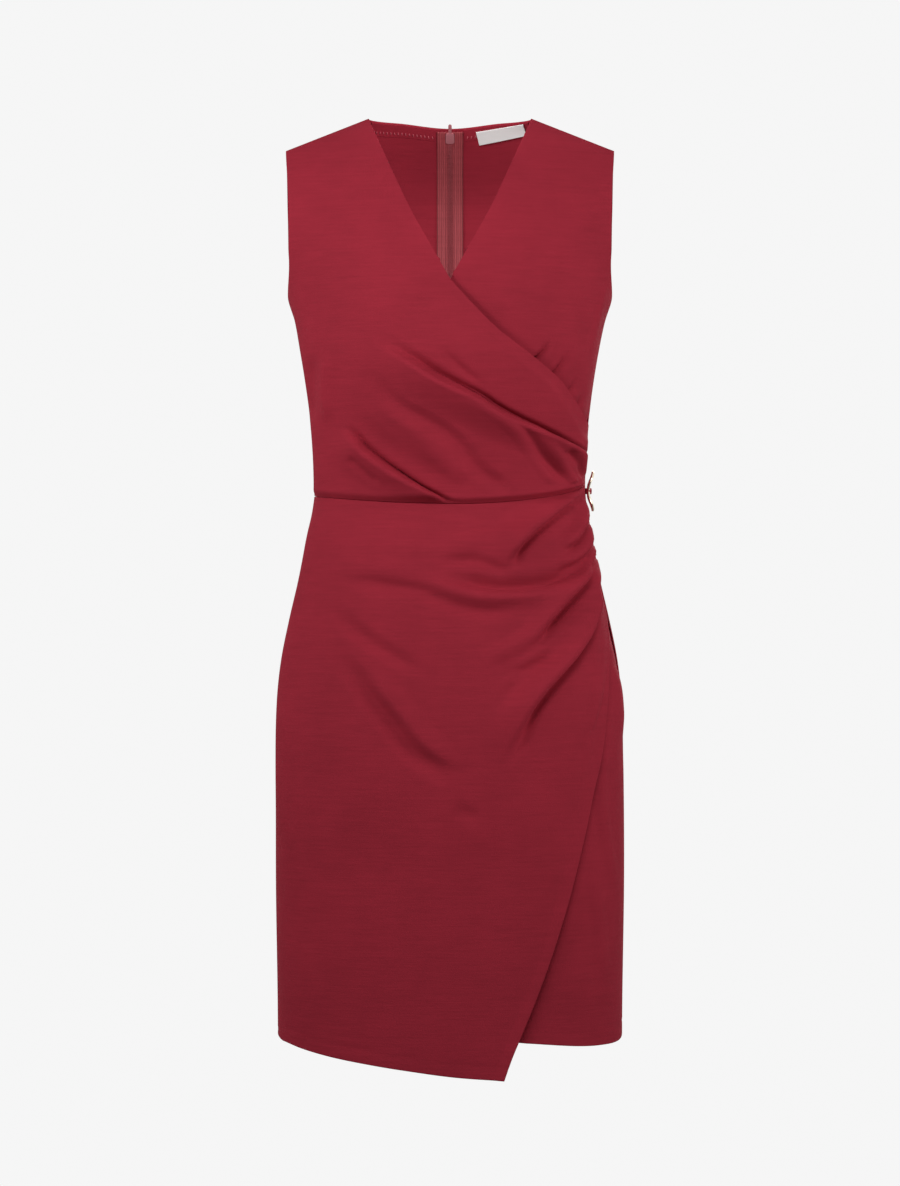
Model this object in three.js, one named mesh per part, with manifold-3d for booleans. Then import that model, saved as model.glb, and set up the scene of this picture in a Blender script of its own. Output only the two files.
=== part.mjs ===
// Sleeveless wrap dress, filled out as if worn, with open neck, armholes and hem.
// Millimetres. X points to the wearer's left, the front faces -Y and Z is up.
// The origin lies between the shoulders, where the dress is held.
import * as THREE from 'three';
import { mergeVertices } from 'three/addons/utils/BufferGeometryUtils.js';
import Module from 'manifold-3d';

const wasm = await Module();
wasm.setup();

// Cloth and seams
const CLOTH = 1.6;
const LAYER_GAP = 0.9;
const SEAM_HALF = 0.2;
const WAIST_HALF = 0.25;
const TAPE_WALL = 1.0;
const TAPE_GAP = 0.3;
const TAPE_REACH = 12.5;
const ZIP_HALF = 0.9;
const ZIP_END = -485;
const UNDER_REST = -(CLOTH + LAYER_GAP);

// Shoulders, neck and hem
const NECK = { across: 77, height: 16.4 };
const TIP = { across: 155.6, height: -14.4 };
const SHOULDER_SLOPE = (NECK.height - TIP.height) / (TIP.across - NECK.across);
const SHOULDER = { frontReach: 190, frontPower: 0.8, backReach: 104, backPower: 0.48 };
const NECK_BACK = { height: 13, rise: 3.4, reach: 52 };
const ROUND = 0.86;
const UNDERARM = -158;
const HEM = -850;
const UNDERLAP = -80;
const SIDE = Math.PI / 2;

// The figure's sections: half width, and how far the front and the back reach from the side seams
const SECTIONS = [
  { height: 40, half: 184, front: 112, back: 92 },
  { height: -15, half: 184, front: 113, back: 93 },
  { height: -60, half: 178.5, front: 114, back: 97 },
  { height: -100, half: 169.5, front: 116, back: 102 },
  { height: -130, half: 158.5, front: 119, back: 105 },
  { height: -158, half: 151.2, front: 122, back: 107 },
  { height: -176, half: 145.4, front: 124, back: 107 },
  { height: -212, half: 138.1, front: 126, back: 105 },
  { height: -250, half: 132.4, front: 119, back: 100 },
  { height: -288, half: 128.5, front: 108, back: 93 },
  { height: -326, half: 126.8, front: 98, back: 88 },
  { height: -345, half: 127.6, front: 96, back: 88 },
  { height: -383, half: 134, front: 99, back: 96 },
  { height: -421, half: 141.2, front: 104, back: 106 },
  { height: -459, half: 150, front: 109, back: 114 },
  { height: -497, half: 157.6, front: 113, back: 120 },
  { height: -535, half: 161.6, front: 116, back: 123 },
  { height: -590, half: 163, front: 116, back: 122 },
  { height: -700, half: 163.7, front: 114, back: 118 },
  { height: -820, half: 162, front: 112, back: 116 },
  { height: -900, half: 161.6, front: 112, back: 116 },
];

// Armhole edges: the girth angle of the front and the back edge at each height
const ARMHOLE = [
  { height: -14.4, front: 57.7, back: 57.7 },
  { height: -36, front: 57.6, back: 58.6 },
  { height: -60, front: 58.4, back: 60.4 },
  { height: -84, front: 60.4, back: 63 },
  { height: -108, front: 64.6, back: 67.4 },
  { height: -130, front: 71.5, back: 74 },
  { height: -148, front: 80.5, back: 82 },
  { height: -158, front: 90, back: 90 },
];

// Waist seam heights round the front, by the girth angle; the back runs level between its ends
const WAIST = [
  { angle: -90, height: -341 },
  { angle: -60, height: -344 },
  { angle: -20, height: -349 },
  { angle: 10, height: -350 },
  { angle: 35, height: -346 },
  { angle: 60, height: -339 },
  { angle: 90, height: -329 },
];

// Lines on the front are read in one level view from 4 m away.
// Its grid step is 0.95 mm at the side seams; across runs right and down runs down.
const VIEW = { step: 0.95, middle: 450, neck: 120, eye: 4000, eyeHeight: -433 };
const NECKLINE = [[369, 120], [377.6, 139], [392.7, 171.6], [410, 208], [431.8, 247], [450.5, 280]];
const WRAP_EDGE = [[450.5, 280], [475, 307], [497.5, 329.7], [520, 347], [539, 362], [557.6, 379], [570.7, 397.6],
  [581, 416], [586.4, 429]];
const FREE_EDGE = [[600, 590], [606, 620], [607, 650], [605, 700], [600, 752], [591.4, 793], [583.7, 832],
  [569.7, 892], [553, 949], [536.6, 996], [519, 1040], [511, 1060], [503.6, 1081.3]];
const OVER_HEM = [[284, 1040.6], [303.6, 1049], [332.7, 1057.5], [369, 1065], [405, 1071], [454, 1077.7],
  [503.6, 1081.3]];

// Folds: a path in the view, its height, and its width on the right and left hand of the path
const BODICE_FOLDS = [
  { path: [[382, 350], [430, 371], [453, 382], [495, 404], [547, 424], [563, 434], [579, 449], [585, 465]],
    height: 7, right: 26, left: 14 },
  { path: [[405, 352], [440, 364], [495, 393], [547, 414], [572, 430]], height: -3, right: 9, left: 14 },
  { path: [[450, 387], [505, 416], [526, 434], [547, 463], [566, 482]], height: -3, right: 11, left: 11 },
  { path: [[470, 388], [515, 418], [540, 440], [560, 466], [574, 484]], height: 3.4, right: 12, left: 12 },
  { path: [[390, 356], [416, 387], [448, 426], [479, 458], [505, 484]], height: -2.6, right: 14, left: 14 },
  { path: [[353, 434], [374.6, 450], [401, 471], [427, 489], [446, 499]], height: 6, right: 24, left: 13 },
  { path: [[318, 352], [317, 390], [319, 428]], height: -2.5, right: 9, left: 9 },
  { path: [[332, 348], [331, 390], [333, 425]], height: 3, right: 9, left: 13 },
];
const GATHER_FOLDS = [
  { path: [[536, 372], [541, 355], [549, 342]], height: 2.2, right: 9, left: 9 },
  { path: [[553, 392], [558, 370], [566, 352]], height: 2.4, right: 9, left: 9 },
  { path: [[572, 412], [577, 385], [583, 345]], height: 2.4, right: 8, left: 8 },
];
const SKIRT_FOLDS = [
  { path: [[584, 492], [573.7, 502], [562, 509.5], [541, 523], [522, 540], [506, 560]],
    height: 7, right: 24, left: 13 },
  { path: [[587, 502], [584, 513], [578, 529], [569, 540.6], [558, 550]], height: -3, right: 12, left: 12 },
  { path: [[588, 540], [577, 556], [571, 570], [553, 580], [530, 586], [508, 588], [477, 588], [450, 582]],
    height: -4, right: 16, left: 12 },
  { path: [[590, 556], [576, 577], [553, 590], [508, 600], [477, 598], [446, 588], [425, 572]],
    height: 6.5, right: 14, left: 20 },
  { path: [[346, 590], [363, 584], [394, 591], [446, 601], [498, 609], [545, 604]], height: -3, right: 14, left: 12 },
  { path: [[440, 561], [477, 562], [500, 572]], height: -2.4, right: 12, left: 12 },
  { path: [[594, 554], [587, 568], [578, 585], [570, 598], [555, 617], [540, 636]], height: 5, right: 16, left: 13 },
  { path: [[598, 575], [597, 590], [593, 609], [588, 629], [579, 647], [563, 669], [547, 687], [534, 706],
    [524, 728], [508, 755], [490, 784]], height: 9.5, right: 26, left: 15 },
  { path: [[575, 630], [560, 656], [539, 675], [518, 697], [494, 722]], height: -2.6, right: 14, left: 12 },
  { path: [[539, 629], [518, 643], [477, 662]], height: 2.6, right: 13, left: 13 },
  { path: [[334, 600], [347, 617], [369, 635], [386, 654], [411, 666], [432, 674]], height: -2.6, right: 14, left: 14 },
  { path: [[334, 640], [353, 677], [374, 706], [394, 733], [415, 755], [436, 772], [460, 786]],
    height: -4, right: 16, left: 15 },
  { path: [[372, 682], [405, 716], [423, 741], [446, 755], [470, 758]], height: 3.6, right: 12, left: 17 },
];
const BODICE_REST = 3.2;
const SKIRT_REST = 4;
const BACK_FOLDS = [
  { path: [[30, -330], [62, -318], [95, -296], [112, -268]], height: 2.4, right: 13, left: 15 },
  { path: [[34, -372], [66, -386], [100, -410], [118, -440]], height: 2.8, right: 15, left: 13 },
  { path: [[50, -430], [70, -500], [78, -590], [82, -690]], height: 3, right: 22, left: 22 },
];

function clamp(value, low, high) {
  return Math.min(Math.max(value, low), high);
}

function ease(low, high, value) {
  const share = clamp((value - low) / (high - low), 0, 1);
  return share * share * (3 - 2 * share);
}

function radians(degrees) {
  return degrees * Math.PI / 180;
}

// A smooth curve through one column of a table, read against another column
function tableCurve(table, key, column) {
  const rows = [...table].sort((one, two) => one[key] - two[key]);
  const slopes = rows.map((row, place) => {
    const before = rows[Math.max(place - 1, 0)];
    const after = rows[Math.min(place + 1, rows.length - 1)];
    return (after[column] - before[column]) / (after[key] - before[key]);
  });
  return (value) => {
    const at = clamp(value, rows[0][key], rows[rows.length - 1][key]);
    let place = 0;
    while (place < rows.length - 2 && at > rows[place + 1][key]) place += 1;
    const span = rows[place + 1][key] - rows[place][key];
    const t = (at - rows[place][key]) / span;
    const start = rows[place][column];
    const end = rows[place + 1][column];
    return start * (1 + 2 * t) * (1 - t) ** 2 + slopes[place] * span * t * (1 - t) ** 2
      + end * t * t * (3 - 2 * t) + slopes[place + 1] * span * t * t * (t - 1);
  };
}

const halfAt = tableCurve(SECTIONS, 'height', 'half');
const frontAt = tableCurve(SECTIONS, 'height', 'front');
const backAt = tableCurve(SECTIONS, 'height', 'back');
const frontWaist = tableCurve(WAIST, 'angle', 'height');

function waistAt(face, angle) {
  if (face < 0) return frontWaist(angle * 180 / Math.PI);
  const share = ease(-SIDE, SIDE, angle);
  return WAIST[0].height + (WAIST[WAIST.length - 1].height - WAIST[0].height) * share;
}

// The shoulder line, carried on across the open neck as a low arch
function ridgeAt(x) {
  const across = Math.abs(x);
  if (across > NECK.across) return NECK.height - SHOULDER_SLOPE * (across - NECK.across);
  return NECK.height + SHOULDER_SLOPE * (NECK.across - across * across / NECK.across) / 2;
}

function shoulderShare(face, drop) {
  const reach = face < 0 ? SHOULDER.frontReach : SHOULDER.backReach;
  const power = face < 0 ? SHOULDER.frontPower : SHOULDER.backPower;
  const left = 1 - clamp(drop / reach, 0, 1);
  return (1 - left * left) ** power;
}

// A point of the figure; face is -1 on the front and 1 on the back, angle runs from -90 to 90 degrees
function formPoint(face, angle, height) {
  const x = halfAt(height) * Math.sin(angle);
  const reach = face < 0 ? frontAt(height) : backAt(height);
  const share = shoulderShare(face, ridgeAt(x) - height);
  const depth = reach * Math.max(Math.cos(angle), 0) ** ROUND * share;
  return new THREE.Vector3(x, face * (depth + SEAM_HALF), height);
}

function angleOf(x, height) {
  return Math.asin(clamp(x / halfAt(height), -1, 1));
}

function formNormal(face, angle, height) {
  const turn = 0.004;
  const step = 0.3;
  const low = clamp(angle - turn, -SIDE + 0.001, SIDE - 0.001);
  const high = clamp(angle + turn, -SIDE + 0.001, SIDE - 0.001);
  const around = formPoint(face, high, height).sub(formPoint(face, low, height));
  const drop = ridgeAt(halfAt(height) * Math.sin(angle)) - height;
  const above = drop < 2 * step ? height : height + step;
  const up = formPoint(face, angle, above).sub(formPoint(face, angle, height - step));
  const normal = around.cross(up).multiplyScalar(-face).normalize();
  return levelAtSeams(normal, face, angle, height);
}

// Near a seam the cloth's thickness lies in the seam's plane, so that neighbours never cross
function levelAtSeams(normal, face, angle, height) {
  const level = normal.clone();
  level.z *= ease(0, 26, Math.abs(height - waistAt(face, angle)));
  const drop = ridgeAt(halfAt(height) * Math.sin(angle)) - height;
  if (Math.abs(angle) > radians(89.6) || drop < 0.6) level.y = 0;
  return level.normalize();
}

function toView(point) {
  const scale = VIEW.eye / (VIEW.eye + point.y) / VIEW.step;
  const middle = VIEW.neck + (NECK.height - VIEW.eyeHeight) / VIEW.step;
  return [VIEW.middle + point.x * scale, middle - (point.z - VIEW.eyeHeight) * scale];
}

// The place on the figure that the view shows at a grid point
function fromView(face, [across, down]) {
  const middle = VIEW.neck + (NECK.height - VIEW.eyeHeight) / VIEW.step;
  let y = 0;
  let place = { angle: 0, height: 0 };
  for (let round = 0; round < 12; round += 1) {
    const scale = VIEW.step * (VIEW.eye + y) / VIEW.eye;
    const x = (across - VIEW.middle) * scale;
    const height = VIEW.eyeHeight + (middle - down) * scale;
    place = { angle: angleOf(x, height), height };
    y = formPoint(face, place.angle, height).y;
  }
  return place;
}

function nearestOnPath(path, [across, down]) {
  let best = { distance: Infinity, side: 0, share: 0 };
  let total = 0;
  for (let place = 0; place < path.length - 1; place += 1) {
    total += Math.hypot(path[place + 1][0] - path[place][0], path[place + 1][1] - path[place][1]);
  }
  let run = 0;
  for (let place = 0; place < path.length - 1; place += 1) {
    const [x0, y0] = path[place];
    const dx = path[place + 1][0] - x0;
    const dy = path[place + 1][1] - y0;
    const length = Math.hypot(dx, dy);
    const t = clamp(((across - x0) * dx + (down - y0) * dy) / (length * length), 0, 1);
    const offX = across - x0 - dx * t;
    const offY = down - y0 - dy * t;
    const distance = Math.hypot(offX, offY);
    if (distance < best.distance) {
      best = { distance, side: dx * offY - dy * offX, share: (run + length * t) / total };
    }
    run += length;
  }
  return best;
}

function foldRise(folds, spot) {
  let rise = 0;
  for (const fold of folds) {
    const near = nearestOnPath(fold.path, spot);
    const width = near.side > 0 ? fold.right : fold.left;
    if (near.distance < width) {
      const across = 0.5 + 0.5 * Math.cos(Math.PI * near.distance / width);
      rise += fold.height * across * ease(0, 0.16, near.share) * ease(0, 0.22, 1 - near.share);
    }
  }
  return rise;
}

// How far a grid point of the view lies on the right hand of an edge
function besideEdge(edge, spot) {
  const near = nearestOnPath(edge, spot);
  return near.side > 0 ? near.distance : -near.distance;
}

function overBodiceRise(face, angle, height) {
  const spot = toView(formPoint(face, angle, height));
  const inside = besideEdge([...NECKLINE, ...WRAP_EDGE.slice(1)], spot);
  const seams = ease(0, 14, height - waistAt(face, angle)) * ease(0, 16, inside);
  const sides = ease(radians(90), radians(74), Math.abs(angle));
  const low = ease(-150, -215, height);
  const rest = BODICE_REST * low * sides;
  return Math.max(0, (rest + foldRise(BODICE_FOLDS, spot) * Math.min(1, 0.25 + sides)) * seams);
}

function underBodiceRise(face, angle, height) {
  const spot = toView(formPoint(face, angle, height));
  const shown = -besideEdge([...NECKLINE, ...WRAP_EDGE.slice(1)], spot);
  const sides = ease(radians(90), radians(80), Math.abs(angle));
  const gathers = foldRise(GATHER_FOLDS, spot) * sides * ease(2, 12, shown);
  return UNDER_REST * (1 - ease(3, 30, shown)) + gathers;
}

function overSkirtRise(face, angle, height) {
  const spot = toView(formPoint(face, angle, height));
  const drop = waistAt(face, angle) - height;
  const sides = ease(radians(90), radians(72), Math.abs(angle));
  const edge = ease(0, 22, besideEdge(FREE_EDGE, spot));
  const low = ease(20, 70, drop) * ease(-700, -560, height);
  const rest = SKIRT_REST * low * sides;
  return Math.max(0, (rest + foldRise(SKIRT_FOLDS, spot) * Math.min(1, 0.3 + sides)) * ease(0, 14, drop) * edge);
}

function underSkirtRise(face, angle, height) {
  const spot = toView(formPoint(face, angle, height));
  const shown = height > -440 ? -1 : -besideEdge(FREE_EDGE, spot);
  return UNDER_REST * (1 - ease(2, 26, shown));
}

function backRise(face, angle, height) {
  const spot = [Math.abs(formPoint(face, angle, height).x), -height];
  const folds = BACK_FOLDS.map((fold) => ({ ...fold, path: fold.path.map(([x, z]) => [x, -z]) }));
  const sides = ease(radians(90), radians(78), Math.abs(angle)) * ease(radians(7), radians(16), Math.abs(angle));
  const seams = ease(4, 26, Math.abs(height - waistAt(face, angle))) * ease(HEM, HEM + 40, height);
  return foldRise(folds, spot) * sides * seams;
}

// Points along a line of chart places, evenly by length, or closer at its start where crowd is over 1
function spread(line, count, crowd = 1) {
  const points = line.map(({ angle, height }) => [angle * 120, height]);
  const runs = [0];
  for (let place = 1; place < points.length; place += 1) {
    runs.push(runs[place - 1] + Math.hypot(points[place][0] - points[place - 1][0],
      points[place][1] - points[place - 1][1]));
  }
  const total = runs[runs.length - 1];
  const result = [];
  for (let number = 0; number <= count; number += 1) {
    const run = total * (number / count) ** crowd;
    let place = 0;
    while (place < runs.length - 2 && run > runs[place + 1]) place += 1;
    const t = (run - runs[place]) / (runs[place + 1] - runs[place]);
    result.push({
      angle: line[place].angle + (line[place + 1].angle - line[place].angle) * t,
      height: line[place].height + (line[place + 1].height - line[place].height) * t,
    });
  }
  return result;
}

function joined(first, firstCount, second, secondCount, crowd = 1) {
  return [...spread(first, firstCount, crowd), ...spread(second, secondCount).slice(1)];
}

// A patch of chart places between four edges, blended so that it meets all of them
function patch(top, bottom, left, right) {
  const columns = top.length - 1;
  const rows = left.length - 1;
  const grid = [];
  for (let row = 0; row <= rows; row += 1) {
    const v = row / rows;
    const line = [];
    for (let column = 0; column <= columns; column += 1) {
      const u = column / columns;
      const place = {};
      for (const key of ['angle', 'height']) {
        const blend = (1 - v) * top[column][key] + v * bottom[column][key]
          + (1 - u) * left[row][key] + u * right[row][key];
        const corners = (1 - u) * (1 - v) * top[0][key] + u * (1 - v) * top[columns][key]
          + (1 - u) * v * bottom[0][key] + u * v * bottom[columns][key];
        place[key] = blend - corners;
      }
      line.push(place);
    }
    grid.push(line);
  }
  return grid;
}

function mirrored(line) {
  return line.map(({ angle, height }) => ({ angle: -angle, height }));
}

// The two faces of a piece of cloth on a chart grid
function clothFaces(face, grid, rise, wall, flats) {
  const inner = grid.map((line) => line.map(({ angle, height }) => {
    const normal = formNormal(face, angle, height);
    return formPoint(face, angle, height).addScaledVector(normal, rise(face, angle, height));
  }));
  const rows = grid.length - 1;
  const columns = grid[0].length - 1;
  const outer = inner.map((line, row) => line.map((point, column) => {
    const { angle, height } = grid[row][column];
    const across = inner[row][Math.min(column + 1, columns)].clone().sub(inner[row][Math.max(column - 1, 0)]);
    const down = inner[Math.min(row + 1, rows)][column].clone().sub(inner[Math.max(row - 1, 0)][column]);
    const base = formNormal(face, angle, height);
    let normal = across.cross(down).normalize();
    if (normal.dot(base) < 0) normal.negate();
    if (row === 0 && flats.top) normal[flats.top] = 0;
    if (row === rows && flats.bottom) normal[flats.bottom] = 0;
    if (column === 0 && flats.left) normal[flats.left] = 0;
    if (column === columns && flats.right) normal[flats.right] = 0;
    normal = levelAtSeams(normal.normalize(), face, angle, height);
    return point.clone().addScaledVector(normal, wall);
  }));
  return { inner, outer };
}

// One closed body from two faces of the same grid
function closedCloth(inner, outer) {
  const rows = inner.length;
  const columns = inner[0].length;
  const points = [...outer.flat(), ...inner.flat()];
  const count = rows * columns;
  const index = [];
  const at = (row, column) => row * columns + column;
  const quad = (a, b, c, d) => {
    if (points[a].distanceToSquared(points[c]) <= points[b].distanceToSquared(points[d])) {
      index.push(a, b, c, a, c, d);
    } else {
      index.push(a, b, d, b, c, d);
    }
  };
  for (let row = 0; row < rows - 1; row += 1) {
    for (let column = 0; column < columns - 1; column += 1) {
      const a = at(row, column);
      const b = at(row + 1, column);
      const c = at(row + 1, column + 1);
      const d = at(row, column + 1);
      quad(a, b, c, d);
      quad(a + count, d + count, c + count, b + count);
    }
  }
  const rim = [];
  for (let column = 0; column < columns; column += 1) rim.push(at(0, column));
  for (let row = 1; row < rows; row += 1) rim.push(at(row, columns - 1));
  for (let column = columns - 2; column >= 0; column -= 1) rim.push(at(rows - 1, column));
  for (let row = rows - 2; row > 0; row -= 1) rim.push(at(row, 0));
  rim.forEach((one, place) => {
    const two = rim[(place + 1) % rim.length];
    quad(one, two, two + count, one + count);
  });
  return facingOut(points, index);
}

// A closed mesh with its faces turned outwards
function facingOut(points, index) {
  const geometry = new THREE.BufferGeometry();
  geometry.setAttribute('position', new THREE.Float32BufferAttribute(points.flatMap((p) => [p.x, p.y, p.z]), 3));
  geometry.setIndex(index);
  if (volumeOf(geometry) < 0) {
    for (let place = 0; place < index.length; place += 3) {
      [index[place + 1], index[place + 2]] = [index[place + 2], index[place + 1]];
    }
    geometry.setIndex(index);
  }
  geometry.computeVertexNormals();
  return geometry;
}

function volumeOf(geometry) {
  const position = geometry.attributes.position;
  const index = geometry.index;
  const a = new THREE.Vector3();
  const b = new THREE.Vector3();
  const c = new THREE.Vector3();
  let volume = 0;
  for (let place = 0; place < index.count; place += 3) {
    a.fromBufferAttribute(position, index.getX(place));
    b.fromBufferAttribute(position, index.getX(place + 1));
    c.fromBufferAttribute(position, index.getX(place + 2));
    volume += a.dot(b.cross(c)) / 6;
  }
  return volume;
}

const MATERIALS = {
  cloth: new THREE.MeshStandardMaterial({ color: 0x912b3a, roughness: 0.85, side: THREE.FrontSide }),
  tape: new THREE.MeshStandardMaterial({ color: 0x8e4048, roughness: 0.8 }),
  label: new THREE.MeshStandardMaterial({ color: 0xdedbd8, roughness: 0.7 }),
  slider: new THREE.MeshStandardMaterial({ color: 0xa46a70, roughness: 0.4, metalness: 0.6 }),
  gold: new THREE.MeshStandardMaterial({ color: 0xe2cfa4, roughness: 0.2, metalness: 1 }),
};

function named(name, geometry, material) {
  const mesh = new THREE.Mesh(geometry, material);
  mesh.name = name;
  return mesh;
}

// Edges of the pieces as chart places
const view = (points) => points.map((point) => fromView(-1, point));
const shoulderLine = (sign) => [{ angle: sign * angleOf(TIP.across, TIP.height), height: TIP.height },
  { angle: sign * angleOf(NECK.across, NECK.height), height: NECK.height }];
const armhole = (column) => ARMHOLE.map((row) => ({ angle: -radians(row[column]), height: row.height }));
const diagonal = [shoulderLine(-1)[1], ...view([...NECKLINE.slice(1), ...WRAP_EDGE.slice(1, -1)]),
  { angle: SIDE, height: -277 }];

function waistLine(face, from, to, count, shift) {
  const line = [];
  for (let number = 0; number <= count; number += 1) {
    const angle = from + (to - from) * number / count;
    line.push({ angle, height: waistAt(face, angle) + shift });
  }
  return line;
}

function straight(from, to, count, crowd = 1) {
  return spread([from, to], count, crowd);
}

const OVER = { columns: 32, shoulder: 6, arm: 10, side: 14, skirtRows: 30 };
const UNDER = { columns: 22, shoulder: 4, arm: 8, side: 10, skirtColumns: 16, skirtRows: 18 };
const BACK = { columns: 11, shoulder: 4, arm: 9, side: 8, skirtRows: 16 };
const CROWD = { arm: 1.35, wrap: 1.15, back: 1.5 };

const sideAt = (sign, height) => ({ angle: sign * SIDE, height });
const waistSide = (sign, shift) => sideAt(sign, waistAt(-1, sign * SIDE) + shift);

function overBodice() {
  const top = joined(shoulderLine(-1), OVER.shoulder, diagonal, OVER.columns - OVER.shoulder);
  const bottom = waistLine(-1, -SIDE, SIDE, OVER.columns, WAIST_HALF);
  const left = joined(armhole('front'), OVER.arm, [sideAt(-1, UNDERARM), waistSide(-1, WAIST_HALF)], OVER.side,
    CROWD.arm);
  const right = straight(diagonal[diagonal.length - 1], waistSide(1, WAIST_HALF), OVER.arm + OVER.side,
    CROWD.wrap);
  return clothFaces(-1, patch(top, bottom, left, right), overBodiceRise, CLOTH,
    { bottom: 'z', left: null, right: 'y' });
}

function underBodice() {
  const top = joined(shoulderLine(-1), UNDER.shoulder, diagonal, UNDER.columns - UNDER.shoulder);
  const bottom = mirrored(waistLine(-1, SIDE, -SIDE, UNDER.columns, WAIST_HALF));
  const left = joined(armhole('front'), UNDER.arm, [sideAt(-1, UNDERARM), mirrored([waistSide(1, WAIST_HALF)])[0]],
    UNDER.side, CROWD.arm);
  const right = straight(diagonal[diagonal.length - 1], mirrored([waistSide(-1, WAIST_HALF)])[0],
    UNDER.arm + UNDER.side, CROWD.wrap);
  const grid = patch(mirrored(top), mirrored(bottom), mirrored(left), mirrored(right));
  return clothFaces(-1, grid, underBodiceRise, CLOTH, { bottom: 'z', right: 'y' });
}

// The centre-back edge, wider apart along the zip and closing up below it
function centreBack(height) {
  return SEAM_HALF + (ZIP_HALF - SEAM_HALF) * ease(ZIP_END - 14, ZIP_END, height);
}

function backNeck(x) {
  return NECK_BACK.height + NECK_BACK.rise * ease(0, NECK_BACK.reach, Math.abs(x));
}

function backNeckLine(sign) {
  const line = [shoulderLine(sign)[1]];
  for (const x of [68, 56, 44, 33, 22, TAPE_REACH]) {
    line.push({ angle: sign * angleOf(x, backNeck(x)), height: backNeck(x) });
  }
  return line;
}

// Back pieces run from the side seam to the tape's edge in even columns, and one more to the zip
function backGrid(sign, top, bottom, left, last) {
  const inner = patch(top, bottom, left, last);
  return inner.map((line) => {
    const height = line[line.length - 1].height;
    return [...line, { angle: sign * angleOf(centreBack(height), height), height }];
  });
}

function backBodice(sign) {
  const arm = sign < 0 ? armhole('back') : mirrored(armhole('back'));
  const top = joined(shoulderLine(sign), BACK.shoulder, backNeckLine(sign), BACK.columns - BACK.shoulder);
  const foot = waistAt(1, 0) + WAIST_HALF;
  const tapeFoot = sign * angleOf(TAPE_REACH, foot);
  const bottom = waistLine(1, sign * SIDE, tapeFoot, BACK.columns, WAIST_HALF);
  const side = [sideAt(sign, UNDERARM), { angle: sign * SIDE, height: waistAt(1, sign * SIDE) + WAIST_HALF }];
  const left = joined(arm, BACK.arm, side, BACK.side, CROWD.arm);
  const last = straight(top[BACK.columns], bottom[BACK.columns], BACK.arm + BACK.side, CROWD.back)
    .map(({ height }) => ({ angle: sign * angleOf(TAPE_REACH, height), height }));
  const grid = backGrid(sign, top, bottom, left, last);
  return clothFaces(1, grid, backRise, CLOTH, { bottom: 'z', left: 'y', right: 'x' });
}

function overSkirt() {
  const top = waistLine(-1, -SIDE, SIDE, OVER.columns, -WAIST_HALF);
  const bottom = spread([sideAt(-1, HEM), ...view(OVER_HEM)], OVER.columns);
  const left = straight(waistSide(-1, -WAIST_HALF), sideAt(-1, HEM), OVER.skirtRows);
  const right = spread([waistSide(1, -WAIST_HALF), sideAt(1, -405), ...view(FREE_EDGE)], OVER.skirtRows);
  return clothFaces(-1, patch(top, bottom, left, right), overSkirtRise, CLOTH, { top: 'z', left: 'y' });
}

function underSkirt() {
  const inner = (height) => ({ angle: angleOf(UNDERLAP, height), height });
  const start = waistAt(-1, angleOf(UNDERLAP, -347)) - WAIST_HALF;
  const top = waistLine(-1, inner(start).angle, SIDE, UNDER.skirtColumns, -WAIST_HALF);
  const bottom = straight(inner(HEM), sideAt(1, HEM), UNDER.skirtColumns);
  const left = straight(top[0], inner(HEM), UNDER.skirtRows).map(({ height }) => inner(height));
  left[0] = top[0];
  const right = straight(waistSide(1, -WAIST_HALF), sideAt(1, HEM), UNDER.skirtRows);
  return clothFaces(-1, patch(top, bottom, left, right), underSkirtRise, CLOTH, { top: 'z', right: 'y' });
}

function backSkirt(sign) {
  const head = waistAt(1, 0) - WAIST_HALF;
  const top = waistLine(1, sign * SIDE, sign * angleOf(TAPE_REACH, head), BACK.columns, -WAIST_HALF);
  const foot = { angle: sign * angleOf(TAPE_REACH, HEM), height: HEM };
  const bottom = straight(sideAt(sign, HEM), foot, BACK.columns);
  const left = straight({ angle: sign * SIDE, height: waistAt(1, sign * SIDE) - WAIST_HALF },
    sideAt(sign, HEM), BACK.skirtRows);
  const last = straight(top[BACK.columns], foot, BACK.skirtRows)
    .map(({ height }) => ({ angle: sign * angleOf(TAPE_REACH, height), height }));
  const grid = backGrid(sign, top, bottom, left, last);
  return clothFaces(1, grid, backRise, CLOTH, { top: 'z', left: 'y', right: 'x' });
}

// Zip tape laid along the inside of the centre-back edge, from the panels' own points
function zipTape(bodice, skirt) {
  const last = bodice.inner[0].length - 1;
  const pair = (line) => [line[last - 1], line[last]];
  const rows = [...bodice.inner.slice(0, -1), ...skirt.inner].map(pair)
    .filter((row) => row[0].z > ZIP_END);
  const inward = rows.map((row, place) => {
    const before = rows[Math.max(place - 1, 0)];
    const after = rows[Math.min(place + 1, rows.length - 1)];
    return row.map((point, column) => {
      const down = after[column].clone().sub(before[column]);
      const across = row[1].clone().sub(row[0]);
      const normal = across.cross(down);
      normal.x = 0;
      return normal.normalize().multiplyScalar(normal.y > 0 ? -1 : 1);
    });
  });
  const moved = (distance) => rows.map((row, place) => row.map((point, column) => (
    point.clone().addScaledVector(inward[place][column], distance))));
  return closedCloth(moved(TAPE_GAP + TAPE_WALL), moved(TAPE_GAP));
}

const LABEL = { corners: [[476, 131.5], [523.5, 123.5], [527, 134.5], [479.5, 144.5]], rest: 0.45, wall: 1,
  columns: 8, rows: 3 };

// A point between the points of a face, by its row and column
function between(face, row, column) {
  const i = clamp(Math.floor(row), 0, face.length - 2);
  const j = clamp(Math.floor(column), 0, face[0].length - 2);
  const upper = face[i][j].clone().lerp(face[i][j + 1], column - j);
  const lower = face[i + 1][j].clone().lerp(face[i + 1][j + 1], column - j);
  return upper.lerp(lower, row - i);
}

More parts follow.
